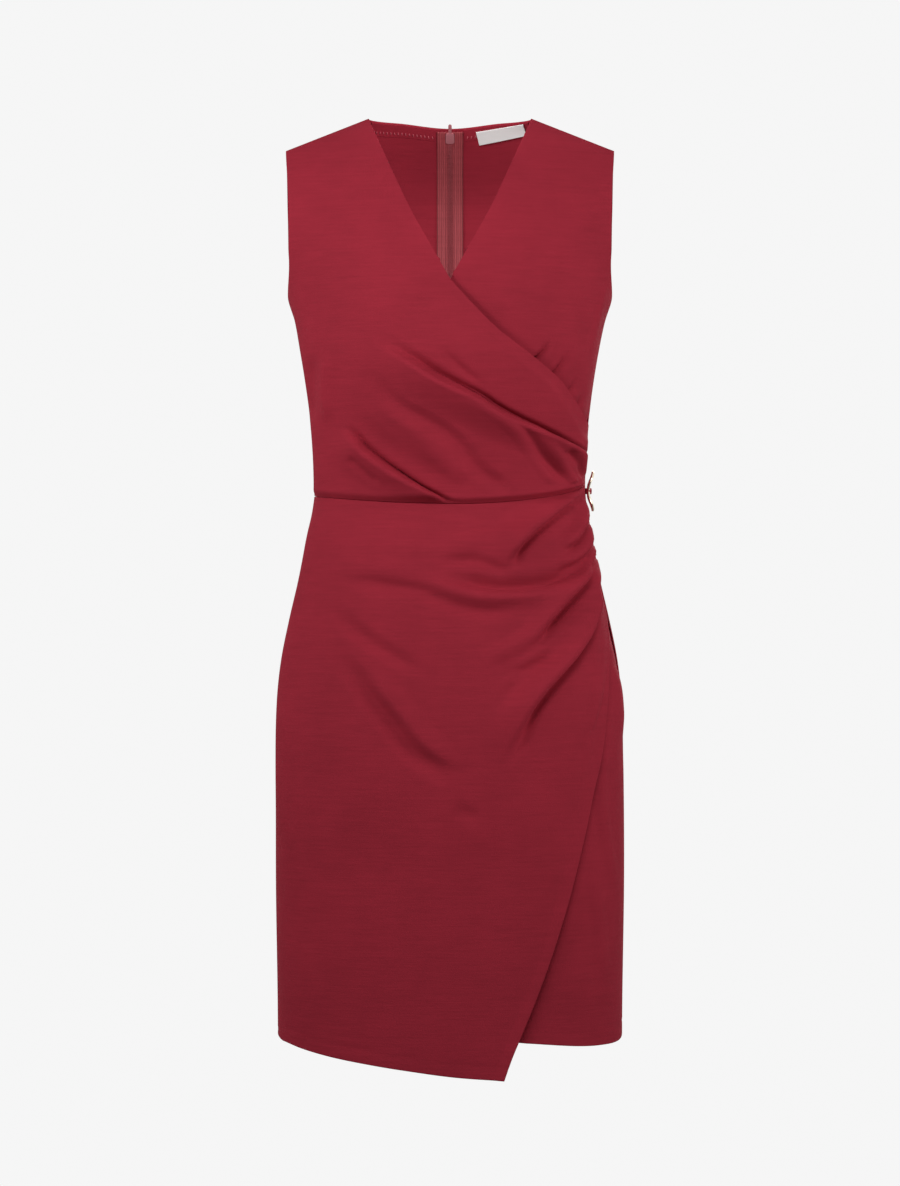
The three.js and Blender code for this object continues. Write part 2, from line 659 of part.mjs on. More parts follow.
// The row and column of a face that the view shows at a grid point
function seenOn(face, spot) {
  const miss = (row, column) => {
    const [across, down] = toView(between(face, row, column));
    return Math.hypot(across - spot[0], down - spot[1]);
  };
  let best = { row: 2, column: face[0].length / 2 };
  for (let step = 3; step > 0.001; step /= 1.6) {
    for (const [down, across] of [[1, 0], [-1, 0], [0, 1], [0, -1]]) {
      const row = clamp(best.row + down * step, 0, face.length - 1);
      const column = clamp(best.column + across * step, 0, face[0].length - 1);
      if (miss(row, column) < miss(best.row, best.column)) best = { row, column };
    }
  }
  return best;
}

function neckLabel(panel) {
  const [a, b, c, d] = LABEL.corners.map((corner) => seenOn(panel.inner, corner));
  const mix = (key, u, v) => (1 - v) * ((1 - u) * a[key] + u * b[key]) + v * ((1 - u) * d[key] + u * c[key]);
  const layer = (distance) => {
    const rows = [];
    for (let row = 0; row <= LABEL.rows; row += 1) {
      const line = [];
      for (let column = 0; column <= LABEL.columns; column += 1) {
        const u = column / LABEL.columns;
        const v = row / LABEL.rows;
        const place = [mix('row', u, v), mix('column', u, v)];
        const point = between(panel.inner, ...place);
        const cloth = between(panel.outer, ...place).sub(point).normalize();
        line.push(point.addScaledVector(cloth, -distance));
      }
      rows.push(line);
    }
    return rows;
  };
  return closedCloth(layer(LABEL.rest + LABEL.wall), layer(LABEL.rest));
}

// A waisted metal ring at the side: two loops that flare away from the cloth above and below its middle
const RING = { seat: 131.2, flare: 4.2, y: -8, z: -336.5, tall: 18, waist: 2.4, swell: 7.2, thick: 1.4,
  steps: 56, around: 10 };

function ringPoint(turn) {
  const high = Math.sin(turn);
  const x = RING.seat + RING.flare * ease(0.15, 1, Math.abs(high));
  const y = RING.y + Math.cos(turn) * (RING.waist + RING.swell * Math.sqrt(Math.abs(high)) * 1.3);
  return new THREE.Vector3(x, y, RING.z + RING.tall * high);
}

function sideRing() {
  const points = [];
  const index = [];
  const outwards = new THREE.Vector3(1, 0, 0);
  for (let step = 0; step < RING.steps; step += 1) {
    const turn = 2 * Math.PI * (step + 0.5) / RING.steps;
    const along = ringPoint(turn + 0.02).sub(ringPoint(turn - 0.02)).normalize();
    const side = along.clone().cross(outwards).normalize();
    const out = side.clone().cross(along);
    for (let part = 0; part < RING.around; part += 1) {
      const roll = 2 * Math.PI * part / RING.around;
      const point = ringPoint(turn).addScaledVector(side, RING.thick * Math.cos(roll));
      points.push(point.addScaledVector(out, RING.thick * Math.sin(roll)));
      const next = ((step + 1) % RING.steps) * RING.around;
      const here = step * RING.around;
      const turned = (part + 1) % RING.around;
      index.push(here + part, next + part, next + turned, here + part, next + turned, here + turned);
    }
  }
  return facingOut(points, index);
}

// Slider and pull, made flat and then laid on the slope of the centre back
const SLIDER = { height: 7.2, width: 8.4, length: 12.6, plate: 1.5, clear: 0.75, stem: 1.1, stemLength: 5 };
const BAR = { radius: 0.65, rise: 2.3, post: 1, half: 3.1, height: 1.5 };
const PULL = { width: 3.4, length: 27, neck: 8, wide: 7, thick: 1.4, knuckle: 1.55, bore: 0.95, rest: -8.5 };

function solidOf(geometry) {
  geometry.deleteAttribute('normal');
  geometry.deleteAttribute('uv');
  const merged = mergeVertices(geometry, 0.0001);
  return new wasm.Manifold(new wasm.Mesh({
    numProp: 3,
    vertProperties: new Float32Array(merged.attributes.position.array),
    triVerts: new Uint32Array(merged.index.array),
  }));
}

function boxSolid(width, depth, length, x, y, z) {
  return solidOf(new THREE.BoxGeometry(width, depth, length).translate(x, y, z));
}

// Rounded plate lying in XZ with its middle at y and z
function plateSolid(width, thick, length, y, z, corner) {
  const outline = new THREE.Shape();
  const across = width / 2 - corner;
  const along = length / 2 - corner;
  outline.absarc(across, along, corner, 0, SIDE);
  outline.absarc(-across, along, corner, SIDE, 2 * SIDE);
  outline.absarc(-across, -along, corner, 2 * SIDE, 3 * SIDE);
  outline.absarc(across, -along, corner, 3 * SIDE, 4 * SIDE);
  const plate = new THREE.ExtrudeGeometry(outline, { depth: thick, bevelEnabled: false, curveSegments: 5 });
  return solidOf(plate.translate(0, 0, -thick / 2).rotateX(SIDE).translate(0, y, z));
}

function barSolid(radius, length, y, z, steps) {
  return solidOf(new THREE.CylinderGeometry(radius, radius, length, steps).rotateZ(SIDE).translate(0, y, z));
}

function solidGeometry(solid, matrix) {
  const mesh = solid.getMesh();
  const geometry = new THREE.BufferGeometry();
  const stride = mesh.numProp;
  const points = [];
  for (let place = 0; place < mesh.vertProperties.length; place += stride) {
    points.push(mesh.vertProperties[place], mesh.vertProperties[place + 1], mesh.vertProperties[place + 2]);
  }
  geometry.setAttribute('position', new THREE.Float32BufferAttribute(points, 3));
  geometry.setIndex([...mesh.triVerts]);
  geometry.applyMatrix4(matrix);
  geometry.computeVertexNormals();
  return geometry;
}

function sliderPlacement() {
  const middle = formPoint(1, 0, SLIDER.height);
  const normal = formNormal(1, 0, SLIDER.height);
  const lean = Math.atan2(normal.z, normal.y);
  const matrix = new THREE.Matrix4().makeRotationX(lean);
  matrix.setPosition(0, middle.y, middle.z);
  return matrix;
}

const OUTER_FACE = CLOTH + SLIDER.clear + SLIDER.plate;
const BAR_Y = OUTER_FACE + BAR.rise;

function zipSlider() {
  const insideFace = -(TAPE_GAP + TAPE_WALL + SLIDER.clear);
  const outside = plateSolid(SLIDER.width, SLIDER.plate, SLIDER.length, OUTER_FACE - SLIDER.plate / 2, 0, 2.4);
  const inside = plateSolid(SLIDER.width, SLIDER.plate, SLIDER.length, insideFace - SLIDER.plate / 2, 0, 2.4);
  const stemDepth = OUTER_FACE - insideFace + SLIDER.plate;
  const stemMiddle = (OUTER_FACE + insideFace - SLIDER.plate) / 2;
  const stem = boxSolid(SLIDER.stem, stemDepth, SLIDER.stemLength, 0, stemMiddle, 1);
  let body = outside.add(inside).add(stem);
  for (const sign of [-1, 1]) {
    const across = sign * (BAR.half - BAR.post / 2);
    body = body.add(boxSolid(BAR.post, BAR.rise + 1.2, 2.4, across, OUTER_FACE + BAR.rise / 2 + 0.1, BAR.height));
  }
  return body.add(barSolid(BAR.radius, 2 * BAR.half - BAR.post, BAR_Y, BAR.height, 16));
}

function zipPull() {
  const knuckle = barSolid(PULL.knuckle, PULL.width, BAR_Y, BAR.height, 24);
  const neck = boxSolid(PULL.width, PULL.thick, PULL.neck, 0, BAR_Y, BAR.height - PULL.neck / 2 - 0.7);
  const tabMiddle = BAR.height - PULL.neck - (PULL.length - PULL.neck) / 2;
  const tab = plateSolid(PULL.wide, PULL.thick, PULL.length - PULL.neck, BAR_Y, tabMiddle, 2.6);
  const bore = barSolid(PULL.bore, PULL.width + 2, BAR_Y, BAR.height, 24);
  return knuckle.add(neck).add(tab).subtract(bore);
}

// The pull drops back about its bar until it nearly meets the slider's edge
function pullPlacement() {
  const toBar = new THREE.Matrix4().makeTranslation(0, BAR_Y, BAR.height);
  const back = new THREE.Matrix4().makeTranslation(0, -BAR_Y, -BAR.height);
  const turn = new THREE.Matrix4().makeRotationX(radians(PULL.rest));
  return sliderPlacement().multiply(toBar).multiply(turn).multiply(back);
}

const dress = new THREE.Group();
dress.name = 'wrap_dress';
const cloth = (name, faces) => dress.add(named(name, closedCloth(faces.inner, faces.outer), MATERIALS.cloth));
const backs = { left: backBodice(-1), right: backBodice(1) };
const tails = { left: backSkirt(-1), right: backSkirt(1) };
cloth('front_bodice_over', overBodice());
cloth('front_bodice_under', underBodice());
cloth('back_bodice_left', backs.left);
cloth('back_bodice_right', backs.right);
cloth('front_skirt_over', overSkirt());
cloth('front_skirt_under', underSkirt());
cloth('back_skirt_left', tails.left);
cloth('back_skirt_right', tails.right);
dress.add(named('zip_tape_left', zipTape(backs.left, tails.left), MATERIALS.tape));
dress.add(named('zip_tape_right', zipTape(backs.right, tails.right), MATERIALS.tape));
dress.add(named('neck_label', neckLabel(backs.right), MATERIALS.label));
dress.add(named('side_ring', sideRing(), MATERIALS.gold));
dress.add(named('zip_slider', solidGeometry(zipSlider(), sliderPlacement()), MATERIALS.slider));
dress.add(named('zip_pull', solidGeometry(zipPull(), pullPlacement()), MATERIALS.slider));

export default dress;
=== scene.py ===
import logging
import math
from dataclasses import dataclass, field
from enum import Enum
from typing import Callable, Optional, Sequence

import bpy
import numpy as np
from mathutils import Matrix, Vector


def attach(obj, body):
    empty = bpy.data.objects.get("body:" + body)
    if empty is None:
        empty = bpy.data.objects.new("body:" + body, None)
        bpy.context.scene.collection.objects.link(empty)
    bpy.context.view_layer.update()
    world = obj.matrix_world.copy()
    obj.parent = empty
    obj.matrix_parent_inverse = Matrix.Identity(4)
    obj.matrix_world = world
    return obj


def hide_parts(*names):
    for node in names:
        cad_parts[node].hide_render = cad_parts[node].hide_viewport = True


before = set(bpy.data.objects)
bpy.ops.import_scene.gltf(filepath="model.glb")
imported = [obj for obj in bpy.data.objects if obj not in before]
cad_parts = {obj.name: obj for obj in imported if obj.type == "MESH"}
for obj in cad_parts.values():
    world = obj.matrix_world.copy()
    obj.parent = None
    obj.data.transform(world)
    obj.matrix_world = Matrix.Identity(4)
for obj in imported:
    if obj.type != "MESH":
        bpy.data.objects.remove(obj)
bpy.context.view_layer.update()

LOG = logging.getLogger("wrap_dress")
MM = 0.001
SIDE = math.pi / 2
# The cloth's thickness, and half the gap at the waist seam, in mm
WALL = 1.6
WAIST_HALF = 0.25
# The girth's mean radius in mm, which turns girth angles into lengths
GIRTH_RADIUS = 120.0
# The rows of the view over which the wrap's edge and the flap's edge start to curl
WRAP_ROWS = (250, 330)
FLAP_ROWS = (600, 690)
Array = np.ndarray


class Face(Enum):
    """The half of the figure that a piece lies on."""

    FRONT = -1
    BACK = 1


class Hand(Enum):
    """The wearer's hand as the sign of X: the right is at -X."""

    RIGHT = -1
    LEFT = 1


class Rim(Enum):
    """An edge of a piece's grid, as the row and column that pick it."""

    TOP = (0, slice(None))
    BOTTOM = (-1, slice(None))
    LEFT = (slice(None), 0)
    RIGHT = (slice(None), -1)


# The figure's sections in mm: height, half width, and how far the front and the back reach
SECTIONS = {
    "height": [-900, -820, -700, -590, -535, -497, -459, -421, -383, -345, -326,
               -288, -250, -212, -176, -158, -130, -100, -60, -15, 40],
    "half": [161.6, 162, 163.7, 163, 161.6, 157.6, 150, 141.2, 134, 127.6, 126.8,
             128.5, 132.4, 138.1, 145.4, 151.2, 158.5, 169.5, 178.5, 184, 184],
    "front": [112, 112, 114, 116, 116, 113, 109, 104, 99, 96, 98,
              108, 119, 126, 124, 122, 119, 116, 114, 113, 112],
    "back": [116, 116, 118, 122, 123, 120, 114, 106, 96, 88, 88,
             93, 100, 105, 107, 107, 105, 102, 97, 93, 92],
}
# The armhole's edge: the girth angle in degrees of its front and back at each height
ARMHOLE = {
    "height": [-158, -148, -130, -108, -84, -60, -36, -14.4],
    "front": [90, 80.5, 71.5, 64.6, 60.4, 58.4, 57.6, 57.7],
    "back": [90, 82, 74, 67.4, 63, 60.4, 58.6, 57.7],
}
# The waist seam's height round the front, by girth angle in degrees
WAIST = {
    "angle": [-90, -60, -20, 10, 35, 60, 90],
    "height": [-341, -344, -349, -350, -346, -339, -329],
}


def ease(low: float, high: float, value: Array) -> Array:
    """A smooth step: 0 at low, 1 at high, 3t^2 - 2t^3 between.

    Args:
        low: the value that gives 0.
        high: the value that gives 1.
        value: the numbers to read.

    Returns:
        The eased shares, from 0 to 1.
    """
    share = np.clip((np.asarray(value, float) - low) / (high - low), 0.0, 1.0)
    return share * share * (3 - 2 * share)


def table_curve(keys: Sequence[float], values: Sequence[float]) -> Callable[[Array], Array]:
    """A smooth curve through a table: cubic Hermite pieces whose slopes join each row's neighbours.

    Args:
        keys: rising positions.
        values: the value at each position.

    Returns:
        A function from positions to values, held level past both ends.
    """
    xs = np.array(keys, float)
    ys = np.array(values, float)
    before = np.maximum(np.arange(len(xs)) - 1, 0)
    after = np.minimum(np.arange(len(xs)) + 1, len(xs) - 1)
    slopes = (ys[after] - ys[before]) / (xs[after] - xs[before])

    def read(value: Array) -> Array:
        """The curve's height at value.

        Args:
            value: positions.

        Returns:
            The curve's values there.
        """
        at = np.clip(value, xs[0], xs[-1])
        row = np.clip(np.searchsorted(xs, at, side="right") - 1, 0, len(xs) - 2)
        span = xs[row + 1] - xs[row]
        t = (at - xs[row]) / span
        start = ys[row] * (1 + 2 * t) * (1 - t) ** 2 + slopes[row] * span * t * (1 - t) ** 2
        end = ys[row + 1] * t * t * (3 - 2 * t) + slopes[row + 1] * span * t * t * (t - 1)
        return start + end

    return read


@dataclass
class Figure:
    """The filled-out form that every piece of cloth lies on, in mm.

    A place on it is a girth angle from the centre front or back, -90 to 90 degrees, and a height.
    Normals are levelled near the waist seam, at the side seams and along the shoulder seams.
    """

    neck_across: float = 77.0
    neck_height: float = 16.4
    tip_across: float = 155.6
    tip_height: float = -14.4
    front_reach: float = 190.0
    front_power: float = 0.8
    back_reach: float = 104.0
    back_power: float = 0.48
    roundness: float = 0.86
    seam_half: float = -0.05
    underarm: float = -158.0
    hem: float = -850.0
    waist_fade: float = 26.0
    side_seam: float = math.radians(89.6)
    shoulder_seam: float = 0.6
    angle_step: float = 0.004
    angle_clear: float = 0.001
    height_step: float = 0.3
    half_at: Callable = table_curve(SECTIONS["height"], SECTIONS["half"])
    front_at: Callable = table_curve(SECTIONS["height"], SECTIONS["front"])
    back_at: Callable = table_curve(SECTIONS["height"], SECTIONS["back"])
    front_waist: Callable = table_curve(WAIST["angle"], WAIST["height"])

    @property
    def shoulder_slope(self) -> float:
        """How fast the shoulder falls away from the neck."""
        return (self.neck_height - self.tip_height) / (self.tip_across - self.neck_across)

    def waist(self, face: Face, angle: Array) -> Array:
        """The waist seam's height: the table on the front, an eased line round the back.

        Args:
            face: front or back.
            angle: girth angles in radians.

        Returns:
            Heights in mm.
        """
        if face is Face.FRONT:
            return self.front_waist(np.degrees(angle))
        ends = WAIST["height"]
        return ends[0] + (ends[-1] - ends[0]) * ease(-SIDE, SIDE, angle)

    def ridge(self, x: Array) -> Array:
        """The shoulder line: straight outside the neck, a low parabola across it.

        Args:
            x: distances across in mm.

        Returns:
            Heights in mm.
        """
        across = np.abs(x)
        outside = self.neck_height - self.shoulder_slope * (across - self.neck_across)
        arch = (self.neck_across - across * across / self.neck_across) / 2
        return np.where(across > self.neck_across, outside, self.neck_height + self.shoulder_slope * arch)

    def point(self, face: Face, angle: Array, height: Array) -> Array:
        """Places on the figure: x = half sin(a), y = reach cos(a)^r (1 - (1 - drop/d)^2)^p.

        Args:
            face: front or back.
            angle: girth angles in radians.
            height: heights in mm.

        Returns:
            Points in mm, with a last axis of 3.
        """
        x = self.half_at(height) * np.sin(angle)
        front = face is Face.FRONT
        reach = self.front_at(height) if front else self.back_at(height)
        depth, power = (self.front_reach, self.front_power) if front else (self.back_reach, self.back_power)
        left = 1 - np.clip((self.ridge(x) - height) / depth, 0, 1)
        share = np.maximum(1 - left * left, 0) ** power
        y = reach * np.maximum(np.cos(angle), 0) ** self.roundness * share + self.seam_half
        return np.stack([x, face.value * y, np.broadcast_to(height, x.shape)], axis=-1)

    def level(self, normal: Array, face: Face, angle: Array, height: Array) -> Array:
        """Turns normals into the seams' planes at the waist, the sides and the shoulders.

        Args:
            normal: the directions to turn.
            face: front or back.
            angle: girth angles in radians.
            height: heights in mm.

        Returns:
            Unit directions.
        """
        out = normal.copy()
        out[..., 2] *= ease(0, self.waist_fade, np.abs(height - self.waist(face, angle)))
        drop = self.ridge(self.half_at(height) * np.sin(angle)) - height
        seam = (np.abs(angle) > self.side_seam) | (drop < self.shoulder_seam)
        out[..., 1] = np.where(seam, 0, out[..., 1])
        return out / np.maximum(np.linalg.norm(out, axis=-1, keepdims=True), 1e-9)

    def normal(self, face: Face, angle: Array, height: Array) -> Array:
        """Outward normals, from small steps round the figure and down it.

        Args:
            face: front or back.
            angle: girth angles in radians.
            height: heights in mm.

        Returns:
            Unit directions.
        """
        end = SIDE - self.angle_clear
        low = np.clip(angle - self.angle_step, -end, end)
        high = np.clip(angle + self.angle_step, -end, end)
        around = self.point(face, high, height) - self.point(face, low, height)
        drop = self.ridge(self.half_at(height) * np.sin(angle)) - height
        above = np.where(drop < self.shoulder_seam, height, height + self.height_step)
        up = self.point(face, angle, above) - self.point(face, angle, height - self.height_step)
        cross = np.cross(around, up) * -face.value
        cross /= np.linalg.norm(cross, axis=-1, keepdims=True)
        return self.level(cross, face, angle, height)

    def onto_ridge(self, line: Array) -> Array:
        """Lifts the places of a line that lie outside the neck exactly onto the shoulder line.

        Args:
            line: rows of angle and height.

        Returns:
            The line, its shoulder part lifted.
        """
        x = self.half_at(line[:, 1]) * np.sin(line[:, 0])
        shoulder = np.abs(x) >= self.neck_across - 0.01
        return np.stack([line[:, 0], np.where(shoulder, self.ridge(x), line[:, 1])], axis=-1)

    def angle_of(self, x: Array, height: Array) -> Array:
        """The girth angle of a distance across."""
        return np.arcsin(np.clip(x / self.half_at(height), -1, 1))


FIGURE = Figure()


@dataclass
class FrontView:
    """A level view from 4 m, on a grid of 0.95 mm at the side seams whose second axis runs down."""

    step: float = 0.95
    middle: float = 450.0
    neck_row: float = 120.0
    eye: float = 4000.0
    eye_height: float = -433.0
    rounds: int = 12

    @property
    def horizon(self) -> float:
        """The grid row at the eye's height."""
        return self.neck_row + (FIGURE.neck_height - self.eye_height) / self.step

    def see(self, points: Array) -> Array:
        """Grid places of points in mm: each is scaled by eye / (eye + y).

        Args:
            points: points with a last axis of x, y and z.

        Returns:
            Grid places, across and down.
        """
        scale = self.eye / (self.eye + points[..., 1]) / self.step
        across = self.middle + points[..., 0] * scale
        down = self.horizon - (points[..., 2] - self.eye_height) * scale
        return np.stack([across, down], axis=-1)

    def find(self, face: Face, spots: Sequence) -> Array:
        """The places on the figure behind grid places, closing in on the depth in a few rounds.

        Args:
            face: front or back.
            spots: grid places.

        Returns:
            Rows of angle and height.
        """
        grid = np.asarray(spots, float)
        y = np.zeros(grid.shape[:-1])
        for _ in range(self.rounds):
            scale = self.step * (self.eye + y) / self.eye
            height = self.eye_height + (self.horizon - grid[..., 1]) * scale
            angle = FIGURE.angle_of((grid[..., 0] - self.middle) * scale, height)
            y = FIGURE.point(face, angle, height)[..., 1]
        return np.stack([angle, height], axis=-1)


VIEW = FrontView()


def smooth_path(points: Sequence, pieces: int = 6) -> Array:
    """A smooth line through points, as a Catmull-Rom spline cut into short pieces.

    Args:
        points: rows of coordinates.
        pieces: pieces between each two points.

    Returns:
        The finer line's rows.
    """
    rows = np.asarray(points, float)
    padded = np.vstack([2 * rows[0] - rows[1], rows, 2 * rows[-1] - rows[-2]])
    t = np.linspace(0, 1, pieces, endpoint=False)[:, None]
    line = []
    for row in range(len(rows) - 1):
        a, b, c, d = padded[row:row + 4]
        line.append(0.5 * (2 * b + (c - a) * t + (2 * a - 5 * b + 4 * c - d) * t ** 2
                           + (3 * b - a - 3 * c + d) * t ** 3))
    return np.vstack([*line, rows[-1:]])


@dataclass
class Nearness:
    """How far places lie from a path, on which hand of it, how far along, and which way."""

    distance: Array
    right: Array
    share: Array
    away: Array


def near(path: Array, spots: Array) -> Nearness:
    """The nearest point of a path to each place, over its pieces in turn.

    Args:
        path: rows of a line.
        spots: places, with a last axis of 2.

    Returns:
        The distances, hands, shares and directions away from the path.
    """
    steps = np.diff(path, axis=0)
    lengths = np.linalg.norm(steps, axis=1)
    runs = np.concatenate([[0], np.cumsum(lengths)])
    best = Nearness(np.full(spots.shape[:-1], np.inf), np.zeros(spots.shape[:-1], bool),
                    np.zeros(spots.shape[:-1]), np.zeros(spots.shape))
    for start, step, length, run in zip(path, steps, lengths, runs):
        off = spots - start
        t = np.clip((off @ step) / length ** 2, 0, 1)
        off = off - t[..., None] * step
        distance = np.linalg.norm(off, axis=-1)
        closer = distance < best.distance
        best.distance = np.where(closer, distance, best.distance)
        best.right = np.where(closer, step[0] * off[..., 1] - step[1] * off[..., 0] > 0, best.right)
        best.share = np.where(closer, (run + t * length) / runs[-1], best.share)
        best.away = np.where(closer[..., None], off, best.away)
    return best


@dataclass
class Fold:
    """A ridge or trough along a path of the view's grid.

    Its height is in mm. Its widths, on the right and left hand of the path, are grid steps.
    A sharp fold has a crest like a crease, a leaning one tips sideways over its steep side, and a
    trough sinks the cloth at the foot of the steep side. At its end a fold is grow times as wide.
    """

    path: list
    height: float
    right: float
    left: float
    start: float = 0.16
    end: float = 0.22
    sharp: float = 0.0
    lean: float = 0.0
    trough: float = 0.0
    grow: float = 1.0

    def shape(self, spots: Array) -> tuple[Array, Array]:
        """How far the fold lifts and tips the cloth at grid places.

        The lift is height * (mix of a cosine bell and (1 - t)^2) * the tapers at both ends.

        Args:
            spots: grid places.

        Returns:
            The lift in mm and the sideways shift in grid steps.
        """
        close = near(smooth_path(self.path), spots)
        wider = 1 + (self.grow - 1) * close.share
        width = np.where(close.right, self.right, self.left) * wider
        t = np.clip(close.distance / width, 0, 1)
        bell = 0.5 + 0.5 * np.cos(math.pi * t)
        crest = (1 - t) ** 2
        taper = ease(-0.001, self.start, close.share) * ease(-0.001, self.end, 1 - close.share)
        profile = ((1 - self.sharp) * bell + self.sharp * crest) * taper
        steep = np.where(self.right < self.left, close.right, ~close.right)
        reach = np.maximum(close.distance[..., None], 1e-6)
        outward = np.where(steep[..., None], 1, -1) * close.away / reach
        lean = self.lean * bell * taper * ease(0, 0.35, 1 - t)
        foot = min(self.right, self.left) * wider
        past = np.abs(close.distance - 1.1 * foot) / (1.1 * foot)
        sunk = self.trough * (0.5 + 0.5 * np.cos(math.pi * np.clip(past, 0, 1))) * taper * steep
        return self.height * profile - sunk, lean[..., None] * outward


def total_shape(folds: Sequence[Fold], spots: Array) -> tuple[Array, Array]:
    """The folds' lifts and shifts, added up.

    Args:
        folds: the folds.
        spots: grid places.

    Returns:
        The lift in mm and the shift in grid steps.
    """
    lift = np.zeros(spots.shape[:-1])
    shift = np.zeros(spots.shape)
    for fold in folds:
        rise, lean = fold.shape(spots)
        lift += rise
        shift += lean
    return lift, shift


OUTLINE_ROOM = 0.8


def within_outline(lift: Array, angle: Array, height: Array) -> Array:
    """Holds a lift near the sides so that the cloth keeps the outline seen from the front.

    The most at a girth angle a is half (1 / sin a - 1) + OUTLINE_ROOM, met softly by a
    fourth-power mean.

    Args:
        lift: the lift in mm.
        angle: girth angles.
        height: heights in mm.

    Returns:
        The held lift.
    """
    sine = np.maximum(np.abs(np.sin(angle)), 0.05)
    most = FIGURE.half_at(height) * (1 / sine - 1) + OUTLINE_ROOM
    up = np.maximum(lift, 0)
    return np.minimum(lift, 0) + up / (1 + (up / most) ** 4) ** 0.25


def from_sides(angle: Array, reach: float) -> Array:
    """A share that eases from 0 on the side seams to 1 from reach degrees inside them.

    Args:
        angle: girth angles in radians.
        reach: the ease's width in degrees.

    Returns:
        The shares.
    """
    return ease(SIDE, math.radians(90 - reach), np.abs(angle))


def beside(edge: Array, spots: Array) -> Array:
    """How far places lie on the right hand of an edge, negative on its left."""
    close = near(edge, spots)
    return np.where(close.right, close.distance, -close.distance)


NECKLINE = [[369, 120], [377.6, 139], [392.7, 171.6], [410, 208], [431.8, 247], [450.5, 280]]
WRAP_EDGE = [[450.5, 280], [475, 307], [497.5, 329.7], [520, 347], [539, 362], [557.6, 379],
             [570.7, 397.6], [581, 416], [586.4, 429]]
FREE_EDGE = [[600, 590], [606, 620], [607, 650], [605, 700], [600, 752], [591.4, 793], [583.7, 832],
             [569.7, 892], [553, 949], [536.6, 996], [519, 1040], [511, 1060], [503.6, 1081.3]]
OVER_HEM = [[284, 1040.6], [303.6, 1049], [332.7, 1057.5], [369, 1065], [405, 1071], [454, 1077.7],
            [503.6, 1081.3]]
BODICE_EDGE = np.vstack([smooth_path(NECKLINE), smooth_path(WRAP_EDGE)[1:]])
SKIRT_EDGE = smooth_path(FREE_EDGE)

BODICE_FOLDS = [
    Fold([[366, 339], [386, 351], [412, 366], [436, 381], [456, 391], [476, 401], [492, 412], [516, 424],
          [540, 435], [560, 446], [576, 457], [586, 467]], 10.5, 38, 9, start=0.35, end=0.06, sharp=0.55,
         lean=3.0, trough=6.5, grow=0.55),
    Fold([[436, 346], [448, 356], [460, 367], [476, 380], [490, 390]], -2.8, 9, 8, start=0.4, end=0.5),
    Fold([[446, 388], [480, 398], [504, 414], [516, 426], [528, 442], [540, 458], [552, 471], [562, 486]],
         -3.8, 11, 9, start=0.4, end=0.1),
    Fold([[470, 396], [506, 424], [530, 452], [545, 476], [550, 486]], 2.2, 9, 8, start=0.4, end=0.1,
         sharp=0.3),
    Fold([[535, 437], [550, 454], [562, 470], [570, 484]], 3.2, 7, 6, start=0.4, end=0.08, sharp=0.3),
    Fold([[556, 448], [570, 462], [579, 474], [585, 484]], -5.5, 7, 6, end=0.03),
    Fold([[366, 366], [400, 404], [424, 417], [448, 432], [462, 446], [478, 468], [510, 493]], -3.4, 15, 12,
         start=0.35, end=0.12),
    Fold([[344, 398], [364, 422], [390, 444], [424, 466], [448, 488]], -2.0, 14, 16, start=0.4, end=0.2),
    Fold([[380, 396], [410, 424], [440, 452], [468, 482]], 2.6, 16, 15, start=0.4, end=0.15),
    Fold([[344, 427], [358, 442], [368, 453], [384, 466], [401, 478], [420, 491], [440, 502], [452, 509]],
         9.5, 32, 6, start=0.22, end=0.03, sharp=0.55, lean=2.8, trough=5.0, grow=0.75),
    Fold([[354, 455], [362, 465], [372, 475], [384, 484]], -2.4, 7, 7),
    Fold([[318, 350], [317, 390], [319, 428]], -3.2, 8, 8, start=0.3, end=0.3),
    Fold([[332, 345], [331, 390], [333, 425]], 3.4, 8, 12, start=0.3, end=0.3),
]
GATHER_FOLDS = [
    Fold([[532, 366], [539, 357], [545, 349], [551, 339]], -7.0, 4.5, 4.5, start=0.02, end=0.75),
    Fold([[549, 383], [556, 374], [562, 364], [567, 350]], -7.2, 4.5, 4.5, start=0.02, end=0.75),
    Fold([[565, 405], [572, 391], [577, 377]], -6.0, 4, 4, start=0.02, end=0.7),
    Fold([[576, 422], [580, 407], [583, 391]], -5.0, 4, 4, start=0.02, end=0.6),
    Fold([[540, 372], [548, 356], [556, 338], [562, 312]], 1.4, 8, 7, start=0.05, end=0.8),
    Fold([[560, 392], [566, 372], [573, 348], [578, 318]], 1.6, 8, 7, start=0.05, end=0.8),
    Fold([[606, 275], [600, 305], [594, 330], [590, 358]], 1.4, 6, 5, start=0.3, end=0.4),
]
